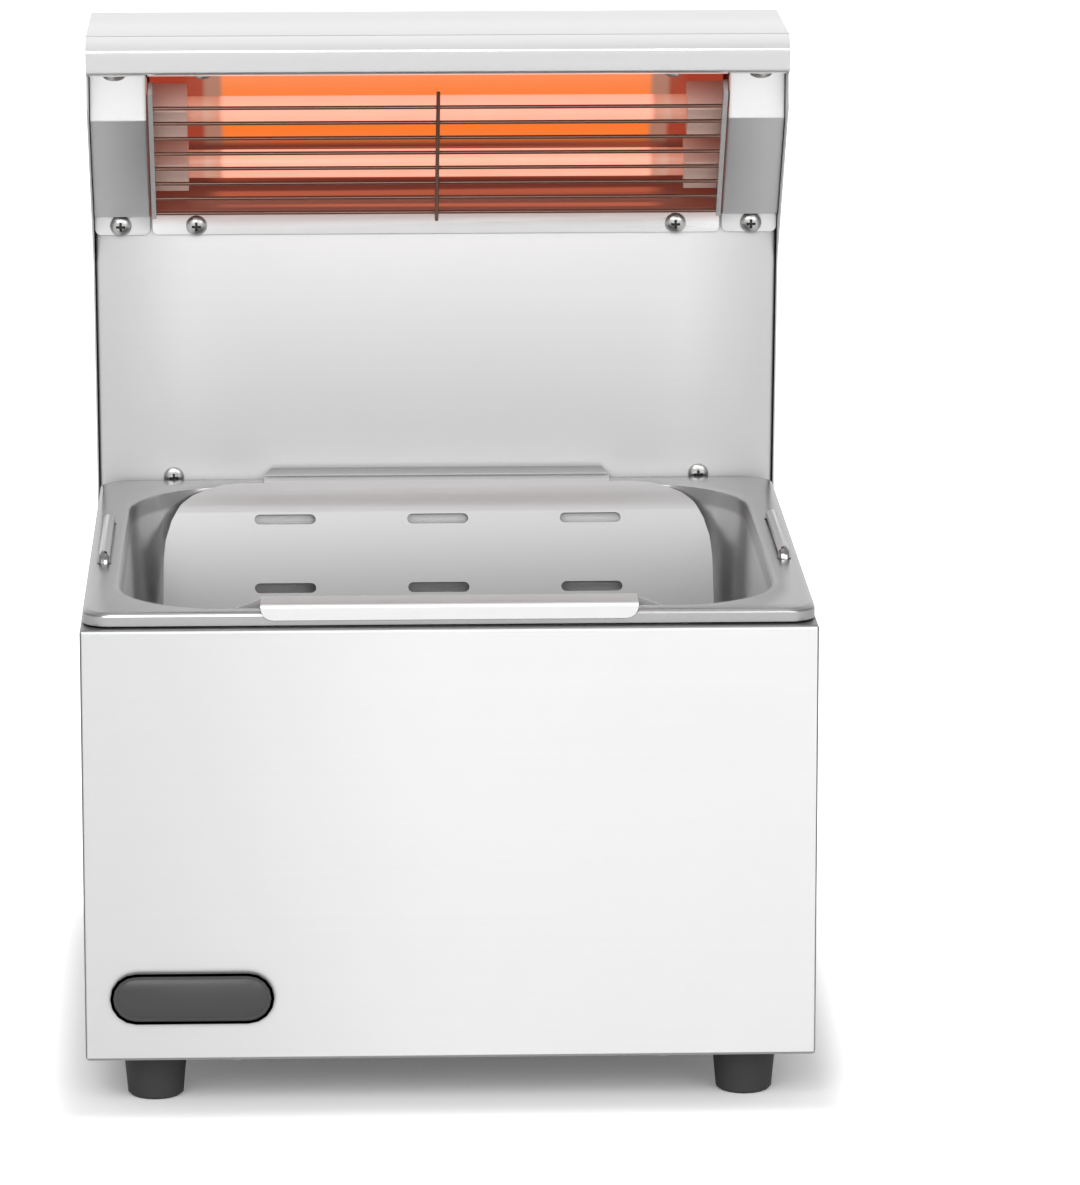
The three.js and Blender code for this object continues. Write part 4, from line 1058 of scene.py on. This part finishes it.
def make_floor():
    """A white floor that keeps the object's shadow and isn't seen from below."""
    shape = bmesh.new()
    bmesh.ops.create_grid(shape, x_segments=1, y_segments=1, size=floor_size / 2)
    mesh = bpy.data.meshes.new("floor")
    shape.to_mesh(mesh)
    shape.free()
    floor = bpy.data.objects.new("floor", mesh)
    bpy.context.scene.collection.objects.link(floor)
    tree, shader = new_finish("pale_floor")
    shader.inputs["Base Color"].default_value = shade(floor_colour, 1.0)
    shader.inputs["Roughness"].default_value = floor_roughness
    shader.inputs["Specular IOR Level"].default_value = floor_shine
    shader.inputs["Emission Color"].default_value = (1, 1, 1, 1)
    distance = floor_distance(tree)
    level = ranged(tree, distance, floor_glow, floor_far_glow, floor_glow_span, smooth=True)
    path = tree.nodes.new("ShaderNodeLightPath")
    glow = ranged(tree, path.outputs["Is Camera Ray"], 0.0, level)
    linked(tree, glow, shader.inputs["Emission Strength"])
    below = tree.nodes.new("ShaderNodeNewGeometry").outputs["Backfacing"]
    linked(tree, ranged(tree, below, 1.0, 0.0), shader.inputs["Alpha"])
    mesh.materials.append(finishes["pale_floor"])


def make_world():
    """White for the camera; mirrored, it dims sideways and halfway up; its light is weaker."""
    world = bpy.data.worlds.new("studio")
    bpy.context.scene.world = world
    world.use_nodes = True
    tree = world.node_tree
    background = tree.nodes["Background"]
    background.inputs["Color"].default_value = (1, 1, 1, 1)
    direction = tree.nodes.new("ShaderNodeTexCoord").outputs["Generated"]
    height = coordinate(tree, direction, "Z")
    level = ranged(tree, height, sky_horizon, sky_middle, sky_middle_span)
    level = ranged(tree, ranged(tree, height, span=sky_zenith_span), level, sky_zenith)
    sideways = without_sign(tree, coordinate(tree, direction, "X"))
    side = ranged(tree, sideways, 1.0, sky_side, sky_side_span, smooth=True)
    path = tree.nodes.new("ShaderNodeLightPath")
    seen = product(tree, level, side)
    mirrored = ranged(tree, path.outputs["Is Glossy Ray"], sky_strength, seen)
    strength = ranged(tree, path.outputs["Is Camera Ray"], mirrored, camera_white)
    linked(tree, strength, background.inputs["Strength"])


def make_lamp(name, place, aim, size, power):
    """A rectangular lamp that looks at a point."""
    light = bpy.data.lights.new(name, "AREA")
    light.shape = "RECTANGLE"
    light.size, light.size_y = size
    light.energy = power
    lamp = bpy.data.objects.new(name, light)
    lamp.location = place
    lamp.rotation_euler = (aim - place).to_track_quat("-Z", "Y").to_euler()
    bpy.context.scene.collection.objects.link(lamp)
    return lamp


def make_lamps():
    """Two lamps in front, and the pale light that the heater throws down on the insert."""
    make_lamp("key_light", key_place, object_middle, key_size, key_power)
    make_lamp("fill_light", fill_place, object_middle, fill_size, fill_power)
    hood_light = make_lamp(
        "hood_light", hood_light_place, hood_light_aim, hood_light_size, hood_light_power
    )
    hood_light.visible_camera = False
    hood_light.visible_glossy = False


def make_camera():
    data = bpy.data.cameras.new("camera")
    data.sensor_width = sensor_width
    data.lens = focal_pixels / image_long_side * sensor_width
    data.clip_start = nearest_seen
    data.clip_end = farthest_seen
    camera = bpy.data.objects.new("camera", data)
    camera.location = (camera_x, camera_y, camera_height)
    look = Vector((view_right, 1, -view_down))
    camera.rotation_euler = look.to_track_quat("-Z", "Y").to_euler()
    bpy.context.scene.collection.objects.link(camera)
    bpy.context.scene.camera = camera


make_finishes()
dress_station()
make_floor()
make_world()
make_lamps()
make_camera()
bpy.context.scene.view_settings.view_transform = "Standard"
